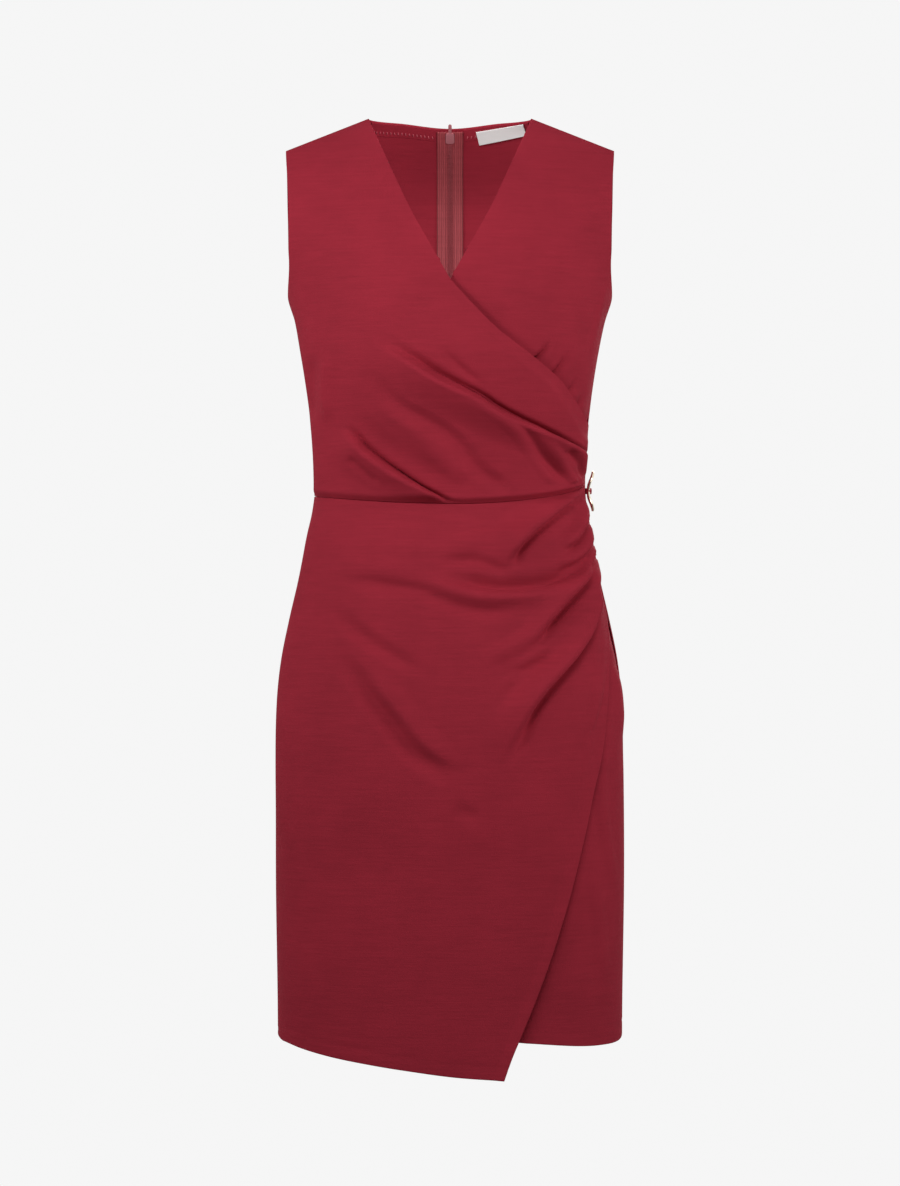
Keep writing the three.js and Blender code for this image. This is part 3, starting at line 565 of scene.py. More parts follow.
SKIRT_FOLDS = [
    Fold([[585, 485], [572, 494], [560, 502], [542, 517], [527, 530], [514, 544], [506, 559], [506, 573]],
         12.5, 22, 5, start=0.06, end=0.3, sharp=0.5, lean=1.8, trough=7.5, grow=1.5),
    Fold([[587, 499], [583, 512], [576, 526], [568, 538], [554, 550]], 7.0, 9, 4.5, start=0.05, end=0.3,
         sharp=0.4, lean=1.4, trough=5.0, grow=1.5),
    Fold([[592, 522], [587, 537], [579, 549], [566, 560], [548, 567]], 4.6, 8, 4.5, start=0.1, end=0.3,
         sharp=0.4, lean=1.0, trough=2.4, grow=1.4),
    Fold([[592, 538], [585, 556], [572, 572], [556, 582], [536, 587], [515, 589], [494, 589], [474, 585],
          [456, 578], [440, 571]], -7.5, 14, 7, start=0.06, end=0.3, sharp=0.2, grow=1.3),
    Fold([[593, 552], [582, 574], [560, 590], [530, 598], [500, 599], [470, 596], [440, 586], [416, 569]],
         6.5, 9, 20, start=0.08, end=0.3, sharp=0.25, lean=1.0),
    Fold([[340, 590], [356, 585], [375, 585], [400, 588], [420, 591], [436, 597], [452, 603], [471, 609],
          [490, 611], [510, 608], [545, 602]], -3.8, 14, 11, start=0.25, end=0.25),
    Fold([[330, 572], [360, 568], [395, 570], [430, 577]], 1.8, 14, 14, start=0.4, end=0.4),
    Fold([[432, 566], [450, 562], [475, 562], [498, 570], [512, 579]], -3.8, 11, 10, start=0.4, end=0.3),
    Fold([[436, 549], [480, 540], [530, 528]], 2.2, 14, 12, start=0.4, end=0.3),
    Fold([[594, 542], [586, 556], [577, 571], [568, 586], [556, 603], [543, 620], [534, 633], [524, 647]],
         10.0, 15, 5, start=0.08, end=0.35, sharp=0.5, lean=1.8, trough=6.5, grow=1.5),
    Fold([[595, 568], [590, 587], [584, 613], [576, 636], [564, 656], [552, 671], [539, 686], [527, 703],
          [517, 722], [508, 742], [496, 764]], 14.5, 28, 6, start=0.08, end=0.4, sharp=0.5, lean=2.8,
         trough=8.0, grow=1.5),
    Fold([[571, 624], [552, 649], [532, 669], [510, 693], [486, 719]], -4.2, 13, 11, start=0.3, end=0.4),
    Fold([[552, 652], [540, 660], [520, 670], [500, 677]], -3.0, 8, 8, start=0.3, end=0.4),
    Fold([[607, 612], [606, 640], [602, 668], [596, 694], [586, 725], [572, 752]], 4.5, 12, 6, start=0.2,
         end=0.5, sharp=0.4, lean=1.0, trough=1.6),
    Fold([[543, 627], [518, 643], [477, 662]], 3.0, 13, 13, start=0.2, end=0.4),
    Fold([[336, 604], [347, 620], [366, 637], [386, 651], [411, 666], [436, 676]], -3.6, 13, 13, start=0.3,
         end=0.4),
    Fold([[334, 640], [346, 660], [360, 677], [380, 706], [400, 733], [417, 755], [440, 772], [466, 785]],
         -4.6, 16, 14, start=0.3, end=0.35),
    Fold([[366, 668], [384, 692], [405, 716], [423, 740], [446, 757], [476, 762]], 5.0, 11, 20, start=0.3,
         end=0.4, sharp=0.3),
    Fold([[452, 806], [468, 814], [484, 818]], -1.8, 14, 12, start=0.4, end=0.4),
]
UNDER_FOLDS = [
    Fold([[608.6, 660], [618, 690], [620, 715], [622, 745]], 3.0, 7, 7, start=0.2, end=0.4),
    Fold([[604, 712], [603.6, 752], [601.7, 796], [604, 830], [610.7, 870], [619, 906]], 2.6, 8, 8, start=0.2,
         end=0.4),
    Fold([[590, 860], [596, 900], [600, 950], [603, 1000]], 1.8, 10, 10, start=0.4, end=0.4),
]
# Creases on the back, in mm across from the centre and down from the shoulders
BACK_FOLDS = {
    Hand.RIGHT: [
        Fold([[30, 330], [62, 317], [97, 294], [116, 262]], 4.5, 15, 12, sharp=0.2),
        Fold([[22, 300], [52, 292], [80, 274], [96, 250]], -2.9, 12, 12),
        Fold([[30, 372], [66, 384], [102, 408], [122, 440]], 5.1, 13, 16, sharp=0.2),
        Fold([[40, 404], [72, 424], [96, 456]], -3.2, 12, 12),
        Fold([[52, 430], [72, 500], [80, 590], [84, 700]], 4.8, 22, 22, start=0.4, end=0.5),
        Fold([[104, 520], [112, 620], [114, 740]], -3.8, 18, 18, start=0.4, end=0.5),
    ],
    Hand.LEFT: [
        Fold([[34, 334], [70, 324], [104, 300], [124, 272]], 5.1, 14, 11, sharp=0.2),
        Fold([[26, 308], [58, 296], [92, 268]], -3.2, 12, 12),
        Fold([[26, 368], [60, 378], [100, 398], [126, 432]], 5.4, 12, 15, sharp=0.2),
        Fold([[44, 398], [76, 414], [108, 446]], -3.5, 11, 13),
        Fold([[46, 450], [64, 520], [76, 600], [78, 660]], 4.2, 20, 20, start=0.4, end=0.5),
        Fold([[98, 500], [108, 600], [116, 760]], -4.2, 20, 18, start=0.4, end=0.5),
    ],
}


def spread(line: Array, count: int, crowd: float = 1.0) -> Array:
    """Places evenly along a line of chart places, or closer at its start where crowd is over 1.

    Args:
        line: rows of angle and height.
        count: the number of steps.
        crowd: the power that the share of the length is raised to.

    Returns:
        count + 1 rows of angle and height.
    """
    flat = line * np.array([GIRTH_RADIUS, 1.0])
    runs = np.concatenate([[0], np.cumsum(np.linalg.norm(np.diff(flat, axis=0), axis=1))])
    at = runs[-1] * (np.arange(count + 1) / count) ** crowd
    return np.stack([np.interp(at, runs, line[:, 0]), np.interp(at, runs, line[:, 1])], axis=-1)


def joined(first: Array, first_count: int, second: Array, second_count: int, crowd: float = 1.0) -> Array:
    """Two spread lines end to end, so that their shared corner is kept."""
    return np.vstack([spread(first, first_count, crowd), spread(second, second_count)[1:]])


def patch(top: Array, bottom: Array, left: Array, right: Array) -> Array:
    """A Coons patch: both pairs of edges blended across it, less the blend of its corners.

    Args:
        top: the first row's places.
        bottom: the last row's places.
        left: the first column's places.
        right: the last column's places.

    Returns:
        A grid of angle and height.
    """
    u = np.linspace(0, 1, len(top))[None, :, None]
    v = np.linspace(0, 1, len(left))[:, None, None]
    rows = (1 - v) * top[None] + v * bottom[None]
    columns = (1 - u) * left[:, None] + u * right[:, None]
    corners = ((1 - u) * (1 - v) * top[0] + u * (1 - v) * top[-1]
               + (1 - u) * v * bottom[0] + u * v * bottom[-1])
    return rows + columns - corners


def seated(grid: Array, shoulder: int) -> Array:
    """A grid whose first row's shoulder part lies exactly on the shoulder line."""
    grid[0, :shoulder + 1] = FIGURE.onto_ridge(grid[0, :shoulder + 1])
    return grid


def place(angle: float, height: float) -> Array:
    """One chart place as a row."""
    return np.array([angle, height], float)


def mirrored(line: Array) -> Array:
    """Chart places on the other hand."""
    return line * np.array([-1.0, 1.0])


def new_object(name: str, points: Array, faces: Array, uv: Optional[Array] = None,
               smooth: bool = True) -> bpy.types.Object:
    """Puts points in mm and faces into a new object at the origin.

    Args:
        name: the object's name.
        points: rows of x, y and z in mm.
        faces: rows of point numbers, three or four to a face.
        uv: a row of u and v for each point.
        smooth: whether the faces are shaded smoothly.

    Returns:
        The object, linked to the scene.
    """
    sides = faces.shape[1]
    mesh = bpy.data.meshes.new(name)
    mesh.vertices.add(len(points))
    mesh.vertices.foreach_set("co", (points * MM).astype(np.float32).ravel())
    mesh.loops.add(faces.size)
    mesh.loops.foreach_set("vertex_index", faces.astype(np.int32).ravel())
    mesh.polygons.add(len(faces))
    mesh.polygons.foreach_set("loop_start", np.arange(0, faces.size, sides, dtype=np.int32))
    mesh.polygons.foreach_set("use_smooth", np.full(len(faces), smooth))
    if uv is not None:
        layer = mesh.uv_layers.new(name="cloth")
        layer.data.foreach_set("uv", uv[faces.ravel()].astype(np.float32).ravel())
    mesh.update(calc_edges=True)
    mesh.validate()
    piece = bpy.data.objects.new(name, mesh)
    bpy.context.scene.collection.objects.link(piece)
    return piece


def grid_faces(rows: int, columns: int, wrap: bool = False) -> Array:
    """Four-sided faces of a grid of points, closed round its columns where wrap is set.

    Args:
        rows: rows of points.
        columns: points in a row.
        wrap: whether the last column joins the first.

    Returns:
        Rows of four point numbers.
    """
    last = columns if wrap else columns - 1
    row, column = np.meshgrid(np.arange(rows - 1), np.arange(last), indexing="ij")
    after = (column + 1) % columns
    corners = [row * columns + column, (row + 1) * columns + column,
               (row + 1) * columns + after, row * columns + after]
    return np.stack(corners, axis=-1).reshape(-1, 4)


def shell(name: str, outer: Array, inner: Array, uv: Array) -> bpy.types.Object:
    """A closed piece of cloth between two grids, with a rounded rim.

    Args:
        name: the object's name.
        outer: the outside's points.
        inner: the inside's points.
        uv: the cloth's own two lengths at each grid point, in metres.

    Returns:
        The object.
    """
    rows, columns = outer.shape[:2]
    count = rows * columns
    faces = grid_faces(rows, columns)
    rim = np.concatenate([np.arange(columns), np.arange(1, rows) * columns + columns - 1,
                          (rows - 1) * columns + np.arange(columns - 2, -1, -1),
                          np.arange(rows - 2, 0, -1) * columns])
    after = np.roll(rim, -1)
    edge = np.stack([rim, after, after + count, rim + count], axis=-1)
    points = np.vstack([outer.reshape(-1, 3), inner.reshape(-1, 3)])
    every = np.vstack([faces, faces[:, ::-1] + count, edge])
    every = every if volume(points, every) > 0 else every[:, ::-1]
    return new_object(name, points, every, np.vstack([uv.reshape(-1, 2)] * 2))


def volume(points: Array, faces: Array) -> float:
    """The volume inside four-sided faces, as the sum of their tetrahedra to the origin.

    Args:
        points: rows of x, y and z.
        faces: rows of four point numbers.

    Returns:
        The volume, negative where the faces point inwards.
    """
    a, b, c, d = (points[faces[:, corner]] for corner in range(4))
    halves = np.einsum("ij,ij->i", a, np.cross(b, c)) + np.einsum("ij,ij->i", a, np.cross(c, d))
    return float(halves.sum() / 6)


# A cloth edge's round rim: the lines' distances in walls, and the wall's share from the edge inwards
RIM_STEPS = (0.08, 0.25, 0.6)
RIM_SHARES = (0.2, 0.6, 0.88, 1.0)


@dataclass
class Cloth:
    """One cut piece of the dress: its grid on the figure, its folds and its wall, in mm."""

    name: str
    face: Face
    node: str
    fineness: int = 6
    wall: float = WALL
    slot: str = "cloth"
    held: str = "draped"
    flats: tuple = ((Rim.BOTTOM, 2), (Rim.RIGHT, 1))
    inner: Array = field(default=None, repr=False)
    outer: Array = field(default=None, repr=False)
    chart: Array = field(default=None, repr=False)

    def grid(self) -> Array:
        """The piece's grid of angle and height."""
        raise NotImplementedError

    def rise(self, angle: Array, height: Array, spots: Array) -> tuple[Array, Array]:
        """The cloth's lift off the figure in mm, and its sideways shift in grid steps."""
        raise NotImplementedError

    def faces(self) -> tuple[Array, Array]:
        """The inside and the outside: figure + normal * lift, then + its own normal * wall.

        Returns:
            The inside's and the outside's points.
        """
        self.chart = self.rounded(self.grid())
        angle, height = self.chart[..., 0], self.chart[..., 1]
        base = FIGURE.point(self.face, angle, height)
        normal = FIGURE.normal(self.face, angle, height)
        lift, shift = self.rise(angle, height, VIEW.see(base))
        across = np.stack([shift[..., 0], np.zeros_like(lift), -shift[..., 1]], axis=-1) * VIEW.step
        across -= normal * np.sum(across * normal, axis=-1, keepdims=True)
        inner = base + normal * lift[..., None] + across
        own = np.cross(np.gradient(inner, axis=1), np.gradient(inner, axis=0))
        own /= np.maximum(np.linalg.norm(own, axis=-1, keepdims=True), 1e-9)
        own *= np.sign(np.median(np.sum(own * normal, axis=-1)))
        for rim, axis in self.flats:
            own[(*rim.value, axis)] = 0
        own = FIGURE.level(own, self.face, angle, height)
        half = own * self.wall / 2
        full = self.fullness(*lift.shape)[..., None]
        self.inner, self.outer = inner + half * (1 - full), inner + half * (1 + full)
        return self.inner, self.outer

    def rounded(self, chart: Array) -> Array:
        """Adds three close lines inside every edge of a chart, for a round rim.

        Args:
            chart: the grid of angle and height.

        Returns:
            The grid with three more lines inside each edge.
        """
        for axis in (0, 1):
            lines = np.moveaxis(chart, axis, 0)
            head = self.close_lines(lines[0], lines[1])
            tail = self.close_lines(lines[-1], lines[-2])[::-1]
            lines = np.concatenate([lines[:1], head, lines[1:-1], tail, lines[-1:]])
            chart = np.moveaxis(lines, 0, axis)
        return chart

    def close_lines(self, edge: Array, beyond: Array) -> Array:
        """Lines at RIM_STEPS of the wall in from an edge, but never past the next line.

        Args:
            edge: the edge's places.
            beyond: the next line's places.

        Returns:
            One line of places for each step.
        """
        gap = beyond - edge
        girth = FIGURE.half_at(edge[..., 1])
        length = np.hypot(gap[..., 0] * girth, gap[..., 1])
        places = []
        for number, step in enumerate(RIM_STEPS, start=1):
            share = np.minimum(step * self.wall / np.maximum(length, 1e-6), number / (len(RIM_STEPS) + 1))
            places.append(edge + gap * share[..., None])
        return np.array(places)

    def fullness(self, rows: int, columns: int) -> Array:
        """The share of the wall at each grid point, which falls off round the rim.

        Args:
            rows: rows of the grid.
            columns: columns of the grid.

        Returns:
            Shares from 0 to 1.
        """
        every = []
        for count in (rows, columns):
            share = np.ones(count)
            share[:len(RIM_SHARES)] = RIM_SHARES
            share[-len(RIM_SHARES):] = RIM_SHARES[::-1]
            every.append(share)
        return np.minimum(every[0][:, None], every[1][None])

    def lengths(self) -> Array:
        """The cloth's own lengths across and down from its first corner, in metres.

        Returns:
            Both lengths at each grid point.
        """
        middle = (self.inner + self.outer) / 2
        across = np.linalg.norm(np.diff(middle, axis=1), axis=-1)
        down = np.linalg.norm(np.diff(middle, axis=0), axis=-1)
        u = np.concatenate([np.zeros((len(middle), 1)), np.cumsum(across, axis=1)], axis=1)
        v = np.concatenate([np.zeros((1, middle.shape[1])), np.cumsum(down, axis=0)], axis=0)
        return np.stack([u, v], axis=-1) * MM

    def build(self, material: bpy.types.Material, body: str) -> bpy.types.Object:
        """Args:
            material: the cloth's material.
            body: the body that it rides on.

        Returns:
            The object.
        """
        inner, outer = self.faces()
        uv = self.lengths()
        piece = shell(self.name, outer, inner, uv)
        piece.data.materials.append(material)
        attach(piece, body)
        if self.node:
            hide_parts(self.node)
        return piece


@dataclass
class OverBodice(Cloth):
    """The upper front from the wearer's right shoulder to the left side, pleated into the side."""

    columns: int = 32
    shoulder: int = 6
    arm: int = 10
    side: int = 14
    rest: float = 5.0
    curl: float = 2.2
    side_head: float = -277.0
    arm_crowd: float = 1.35
    side_crowd: float = 1.15

    @staticmethod
    def shoulder_line() -> Array:
        """The shoulder seam from its tip to the neck, on the wearer's right.

        Returns:
            Rows of angle and height.
        """
        x = np.linspace(FIGURE.tip_across, FIGURE.neck_across, 24)
        height = FIGURE.ridge(x)
        return np.stack([-FIGURE.angle_of(x, height), height], axis=-1)

    @staticmethod
    def armhole(column: str, hand: Hand = Hand.RIGHT) -> Array:
        """The armhole's edge from the shoulder tip down to the underarm.

        Args:
            column: the table's column, front or back.
            hand: the wearer's hand.

        Returns:
            Rows of angle and height.
        """
        heights = np.linspace(ARMHOLE["height"][-1], ARMHOLE["height"][0], 60)
        angles = np.radians(table_curve(ARMHOLE["height"], ARMHOLE[column])(heights))
        return np.stack([hand.value * angles, heights], axis=-1)

    def edges(self, columns: int, shoulder: int, arm: int, side: int) -> tuple[Array, Array, Array, Array]:
        """The four edges of the wearer's right front, before any mirroring.

        Args:
            columns: steps across.
            shoulder: those of them on the shoulder.
            arm: steps down the armhole.
            side: steps down the side.

        Returns:
            The top, bottom, left and right edge.
        """
        wrap = VIEW.find(Face.FRONT, np.vstack([smooth_path(NECKLINE)[1:], smooth_path(WRAP_EDGE)[1:-3]]))
        diagonal = np.vstack([self.shoulder_line()[-1:], wrap, place(SIDE, self.side_head)[None]])
        top = joined(self.shoulder_line(), shoulder, diagonal, columns - shoulder)
        left_side = np.array([[-SIDE, FIGURE.underarm], [-SIDE, WAIST["height"][0] + WAIST_HALF]])
        left = joined(self.armhole("front"), arm, left_side, side, self.arm_crowd)
        right_side = np.array([[SIDE, self.side_head], [SIDE, WAIST["height"][-1] + WAIST_HALF]])
        right = spread(right_side, arm + side, self.side_crowd)
        angles = np.linspace(-SIDE, SIDE, columns + 1)
        bottom = np.stack([angles, FIGURE.waist(Face.FRONT, angles) + WAIST_HALF], axis=-1)
        return top, bottom, left, right

    def grid(self) -> Array:
        """A patch between the shoulder and wrap edge, the waist, the armhole side and the short side.

        Returns:
            Places of angle and height, in rows and columns.
        """
        k = self.fineness
        edges = self.edges(k * self.columns, k * self.shoulder, k * self.arm, k * self.side)
        return seated(patch(*edges), k * self.shoulder)

    def rise(self, angle: Array, height: Array, spots: Array) -> tuple[Array, Array]:
        """The folds over a slight fullness, easing flat at the edges and seams.

        Args:
            angle: girth angles in radians.
            height: heights in mm.
            spots: grid places of the view.

        Returns:
            The lift in mm and the shift in grid steps.
        """
        inside = beside(BODICE_EDGE, spots)
        above = height - FIGURE.waist(self.face, angle)
        seams = ease(0, 6, above) * ease(0, 14, inside)
        curl = self.curl * (1 - ease(0, 10, np.abs(inside))) * ease(*WRAP_ROWS, spots[..., 1])
        sides = from_sides(angle, 16)
        rest = self.rest * ease(-150, -215, height) * sides
        lift, shift = total_shape(BODICE_FOLDS, spots)
        share = from_sides(angle, 12)
        lift = within_outline(rest + lift * share, angle, height)
        return np.maximum(-0.4, lift * seams) + curl * sides, shift * (seams * share)[..., None]


@dataclass
class UnderBodice(OverBodice):
    """The upper front from the wearer's left shoulder, crossing beneath the other front."""

    columns: int = 24
    shoulder: int = 5
    arm: int = 9
    side: int = 11
    depth: float = -2.5
    groove: float = 2.4

    def grid(self) -> Array:
        """The other front's edges, mirrored, with this hand's waist.

        Returns:
            Places of angle and height, in rows and columns.
        """
        k = self.fineness
        top, _, left, right = self.edges(k * self.columns, k * self.shoulder, k * self.arm, k * self.side)
        top, left, right = mirrored(top), mirrored(left), mirrored(right)
        angles = np.linspace(SIDE, -SIDE, k * self.columns + 1)
        bottom = np.stack([angles, FIGURE.waist(Face.FRONT, angles) + WAIST_HALF], axis=-1)
        arm = k * self.arm
        left[arm:, 1] = np.linspace(FIGURE.underarm, bottom[0, 1], len(left) - arm)
        share = np.linspace(0, 1, len(right)) ** self.side_crowd
        right[:, 1] = self.side_head + (bottom[-1, 1] - self.side_head) * share
        return seated(patch(top, bottom, left, right), k * self.shoulder)

    def rise(self, angle: Array, height: Array, spots: Array) -> tuple[Array, Array]:
        """Sunk beneath the other front, rising to the figure where it shows, with short gathers.

        Args:
            angle: girth angles in radians.
            height: heights in mm.
            spots: grid places of the view.

        Returns:
            The lift in mm and the shift in grid steps.
        """
        shown = -beside(BODICE_EDGE, spots)
        sides = from_sides(angle, 8)
        lift, shift = total_shape(GATHER_FOLDS, spots)
        gathers = lift * sides * ease(-6, 1, shown)
        groove = self.groove * (1 - ease(0, 7, np.abs(shown))) * ease(*WRAP_ROWS, spots[..., 1])
        raised = (1 - sides) * ease(-272, -262, height)
        return self.depth * (1 - ease(3, 30, shown)) * (1 - raised) + gathers - groove * sides, shift * 0


# Where a hem is caught above its edge, and the dimple's depth and half width there, in mm
HEM_DEPTH = 12.4
DIMPLE_DEPTH = 0.45
DIMPLE_HALF = 3.0
# How far the under front's hem dips, and the shares of the half width between which it does
UNDER_DIP = 5.8
UNDER_SPAN = (0.36, 0.86)
# The back neckline: its height at the centre, its rise, and how far across it rises, in mm
NECK_CENTRE = 13.0
NECK_RISE = 3.4
NECK_REACH = 52.0


def hem_groove(up: Array) -> Array:
    """The dimple where a hem is caught: a cosine bell of DIMPLE_HALF either side of HEM_DEPTH up."""
    return DIMPLE_DEPTH / 2 * (1 + np.cos(math.pi * np.clip((up - HEM_DEPTH) / DIMPLE_HALF, -1, 1)))


def under_hem(angle: Array) -> Array:
    """The under front's hem: it dips between the flap and the side, and rounds up at the side.

    Args:
        angle: girth angles in radians.

    Returns:
        Heights in mm.
    """
    across = np.sin(angle)
    corner = np.sqrt(np.maximum(1 - np.maximum(across, 0) ** 40, 0))
    return FIGURE.hem - UNDER_DIP * ease(*UNDER_SPAN, across) * corner


def neck_height(x: Array) -> Array:
    """The back neckline's height, which eases up from the centre back towards the shoulder."""
    return NECK_CENTRE + NECK_RISE * ease(0, NECK_REACH, x)


@dataclass
class BackBodice(Cloth):
    """One upper back, from the side to the zip."""

    flats: tuple = ((Rim.BOTTOM, 2), (Rim.LEFT, 1), (Rim.RIGHT, 0))
    hand: Hand = Hand.RIGHT
    gap: float = 0.9
    zip_clear: tuple = (7, 16)
    columns: int = 12
    shoulder: int = 4
    arm: int = 9
    side: int = 8

    def neck_line(self) -> Array:
        """The back neckline, from the shoulder to the centre back.

        Returns:
            Rows of angle and height.
        """
        x = np.linspace(FIGURE.neck_across, self.gap, 40)
        height = neck_height(x)
        return np.stack([self.hand.value * FIGURE.angle_of(x, height), height], axis=-1)

    def grid(self) -> Array:
        """A patch between the neckline, the waist, the armhole side and the centre back.

        Returns:
            Places of angle and height, in rows and columns.
        """
        k, sign = self.fineness, self.hand.value
        shoulder = OverBodice.shoulder_line() * np.array([-sign, 1.0])
        top = joined(shoulder, k * self.shoulder, self.neck_line(), k * (self.columns - self.shoulder))
        foot = float(FIGURE.waist(Face.BACK, np.array(0.0))) + WAIST_HALF
        middle = sign * float(FIGURE.angle_of(self.gap, foot))
        angles = np.linspace(sign * SIDE, middle, k * self.columns + 1)
        bottom = np.stack([angles, FIGURE.waist(Face.BACK, angles) + WAIST_HALF], axis=-1)
        side = np.array([[sign * SIDE, FIGURE.underarm], [sign * SIDE, bottom[0, 1]]])
        left = joined(OverBodice.armhole("back", self.hand), k * self.arm, side, k * self.side, 1.35)
        right = spread(np.array([top[-1], bottom[-1]]), k * (self.arm + self.side), 1.5)
        right[:, 0] = sign * FIGURE.angle_of(self.gap, right[:, 1])
        return seated(patch(top, bottom, left, right), k * self.shoulder)

    def rise(self, angle: Array, height: Array, spots: Array) -> tuple[Array, Array]:
        """Soft creases at the waist, kept clear of the zip and the seams.

        Args:
            angle: girth angles in radians.
            height: heights in mm.
            spots: grid places of the view; not used.

        Returns:
            The lift in mm and the shift in grid steps.
        """
        where = np.stack([np.abs(FIGURE.half_at(height) * np.sin(angle)), -height], axis=-1)
        lift, shift = total_shape(BACK_FOLDS[self.hand], where)
        sides = from_sides(angle, 12) * ease(*np.radians(self.zip_clear), np.abs(angle))
        seams = ease(2, 22, np.abs(height - FIGURE.waist(self.face, angle)))
        low = ease(FIGURE.hem, FIGURE.hem + 40, height)
        return lift * sides * seams * low - hem_groove(height - FIGURE.hem), shift * 0


@dataclass
class OverSkirt(Cloth):
    """The wrapped skirt front, draped from the side, with a slanted free edge and a dipping hem."""

    flats: tuple = ((Rim.TOP, 2), (Rim.LEFT, 1))
    columns: int = 32
    rows: int = 29
    rest: float = 6.0
    curl: float = 2.2

    def grid(self) -> Array:
        """A patch between the waist, the dipping hem, the right side and the free edge.

        Returns:
            Places of angle and height, in rows and columns.
        """
        k = self.fineness
        angles = np.linspace(-SIDE, SIDE, k * self.columns + 1)
        top = np.stack([angles, FIGURE.waist(Face.FRONT, angles) - WAIST_HALF], axis=-1)
        hem = np.vstack([place(-SIDE, FIGURE.hem)[None], VIEW.find(Face.FRONT, smooth_path(OVER_HEM))])
        left = spread(np.array([top[0], hem[0]]), k * self.rows)
        edge = np.vstack([top[-1:], place(SIDE, -405)[None], VIEW.find(Face.FRONT, SKIRT_EDGE)])
        return patch(top, spread(hem, k * self.columns), left, spread(edge, k * self.rows))

    def rise(self, angle: Array, height: Array, spots: Array) -> tuple[Array, Array]:
        """The drape's folds over a slight fullness, easing flat at the waist, sides and edges.

        Args:
            angle: girth angles in radians.
            height: heights in mm.
            spots: grid places of the view.

        Returns:
            The lift in mm and the shift in grid steps.
        """
        drop = FIGURE.waist(self.face, angle) - height
        sides = from_sides(angle, 18)
        inside = beside(SKIRT_EDGE, spots)
        edge = ease(0, 18, inside)
        curl = self.curl * (1 - ease(0, 12, np.abs(inside))) * ease(*FLAP_ROWS, spots[..., 1]) * sides
        rest = self.rest * ease(3, 48, drop) * ease(-700, -560, height) * sides
        lift, shift = total_shape(SKIRT_FOLDS, spots)
        seams = ease(0, 5, drop) * edge
        groove = hem_groove(np.abs(beside(smooth_path(OVER_HEM), spots)) * VIEW.step)
        share = from_sides(angle, 12)
        lift = within_outline(rest + lift * share, angle, height)
        return np.maximum(-0.4, lift * seams) - groove + curl, shift * (seams * share)[..., None]


@dataclass
class UnderSkirt(Cloth):
    """The skirt front beneath the wrap, seen at the wearer's left."""

    flats: tuple = ((Rim.TOP, 2), (Rim.RIGHT, 1))
    columns: int = 20
    rows: int = 26
    underlap: float = -80.0
    depth: float = -2.5
    groove: float = 5.0

    def grid(self) -> Array:
        """A patch between the waist, the level hem, the hidden edge and the left side.

        Returns:
            Places of angle and height, in rows and columns.
        """
        k = self.fineness
        start = float(FIGURE.angle_of(self.underlap, -347))
        angles = np.linspace(start, SIDE, k * self.columns + 1)
        top = np.stack([angles, FIGURE.waist(Face.FRONT, angles) - WAIST_HALF], axis=-1)
        low = place(float(FIGURE.angle_of(self.underlap, FIGURE.hem)), FIGURE.hem)
        around = np.linspace(low[0], SIDE, 400)
        bottom = spread(np.stack([around, under_hem(around)], axis=-1), k * self.columns)
        left = spread(np.array([top[0], low]), k * self.rows)
        left[:, 0] = FIGURE.angle_of(self.underlap, left[:, 1])
        right = spread(np.array([top[-1], bottom[-1]]), k * self.rows)
        return patch(top, bottom, left, right)

    def rise(self, angle: Array, height: Array, spots: Array) -> tuple[Array, Array]:
        """Sunk beneath the wrap, rising to the figure where it shows, with soft upright folds.

        Args:
            angle: girth angles in radians.
            height: heights in mm.
            spots: grid places of the view.

        Returns:
            The lift in mm and the shift in grid steps.
        """
        shown = np.where(height > -440, -1, -beside(SKIRT_EDGE, spots))
        lift, shift = total_shape(UNDER_FOLDS, spots)
        sides = from_sides(angle, 6)
        sunk = self.depth * (1 - ease(2, 26, shown))
        sunk -= self.groove * (1 - ease(0, 9, np.abs(shown))) * ease(*FLAP_ROWS, spots[..., 1]) * sides
        return sunk + lift * sides * ease(0, 10, shown) - hem_groove(height - under_hem(angle)), shift * 0


@dataclass
class BackSkirt(BackBodice):
    """One back of the skirt, from the side to the centre seam."""

    flats: tuple = ((Rim.TOP, 2), (Rim.LEFT, 1), (Rim.RIGHT, 0))
    rows: int = 24
    zip_end: float = -485.0
    zip_taper: float = 14.0
    closed: float = -0.05
    parting: float = 0.95

    def grid(self) -> Array:
        """A patch between the waist, the level hem, the side and the centre back.

        Returns:
            Places of angle and height, in rows and columns.
        """
        k, sign = self.fineness, self.hand.value
        head = float(FIGURE.waist(Face.BACK, np.array(0.0))) - WAIST_HALF
        middle = sign * float(FIGURE.angle_of(self.gap, head))
        angles = np.linspace(sign * SIDE, middle, k * self.columns + 1)
        top = np.stack([angles, FIGURE.waist(Face.BACK, angles) - WAIST_HALF], axis=-1)
        low = place(sign * float(FIGURE.angle_of(self.closed, FIGURE.hem)), FIGURE.hem)
        bottom = spread(np.array([place(sign * SIDE, FIGURE.hem), low]), k * self.columns)
        left = spread(np.array([top[0], bottom[0]]), k * self.rows)
        right = spread(np.array([top[-1], low]), k * self.rows)
        gap = self.closed + self.parting * ease(self.zip_end - self.zip_taper, self.zip_end, right[:, 1])
        right[:, 0] = sign * FIGURE.angle_of(gap, right[:, 1])
        return patch(top, bottom, left, right)


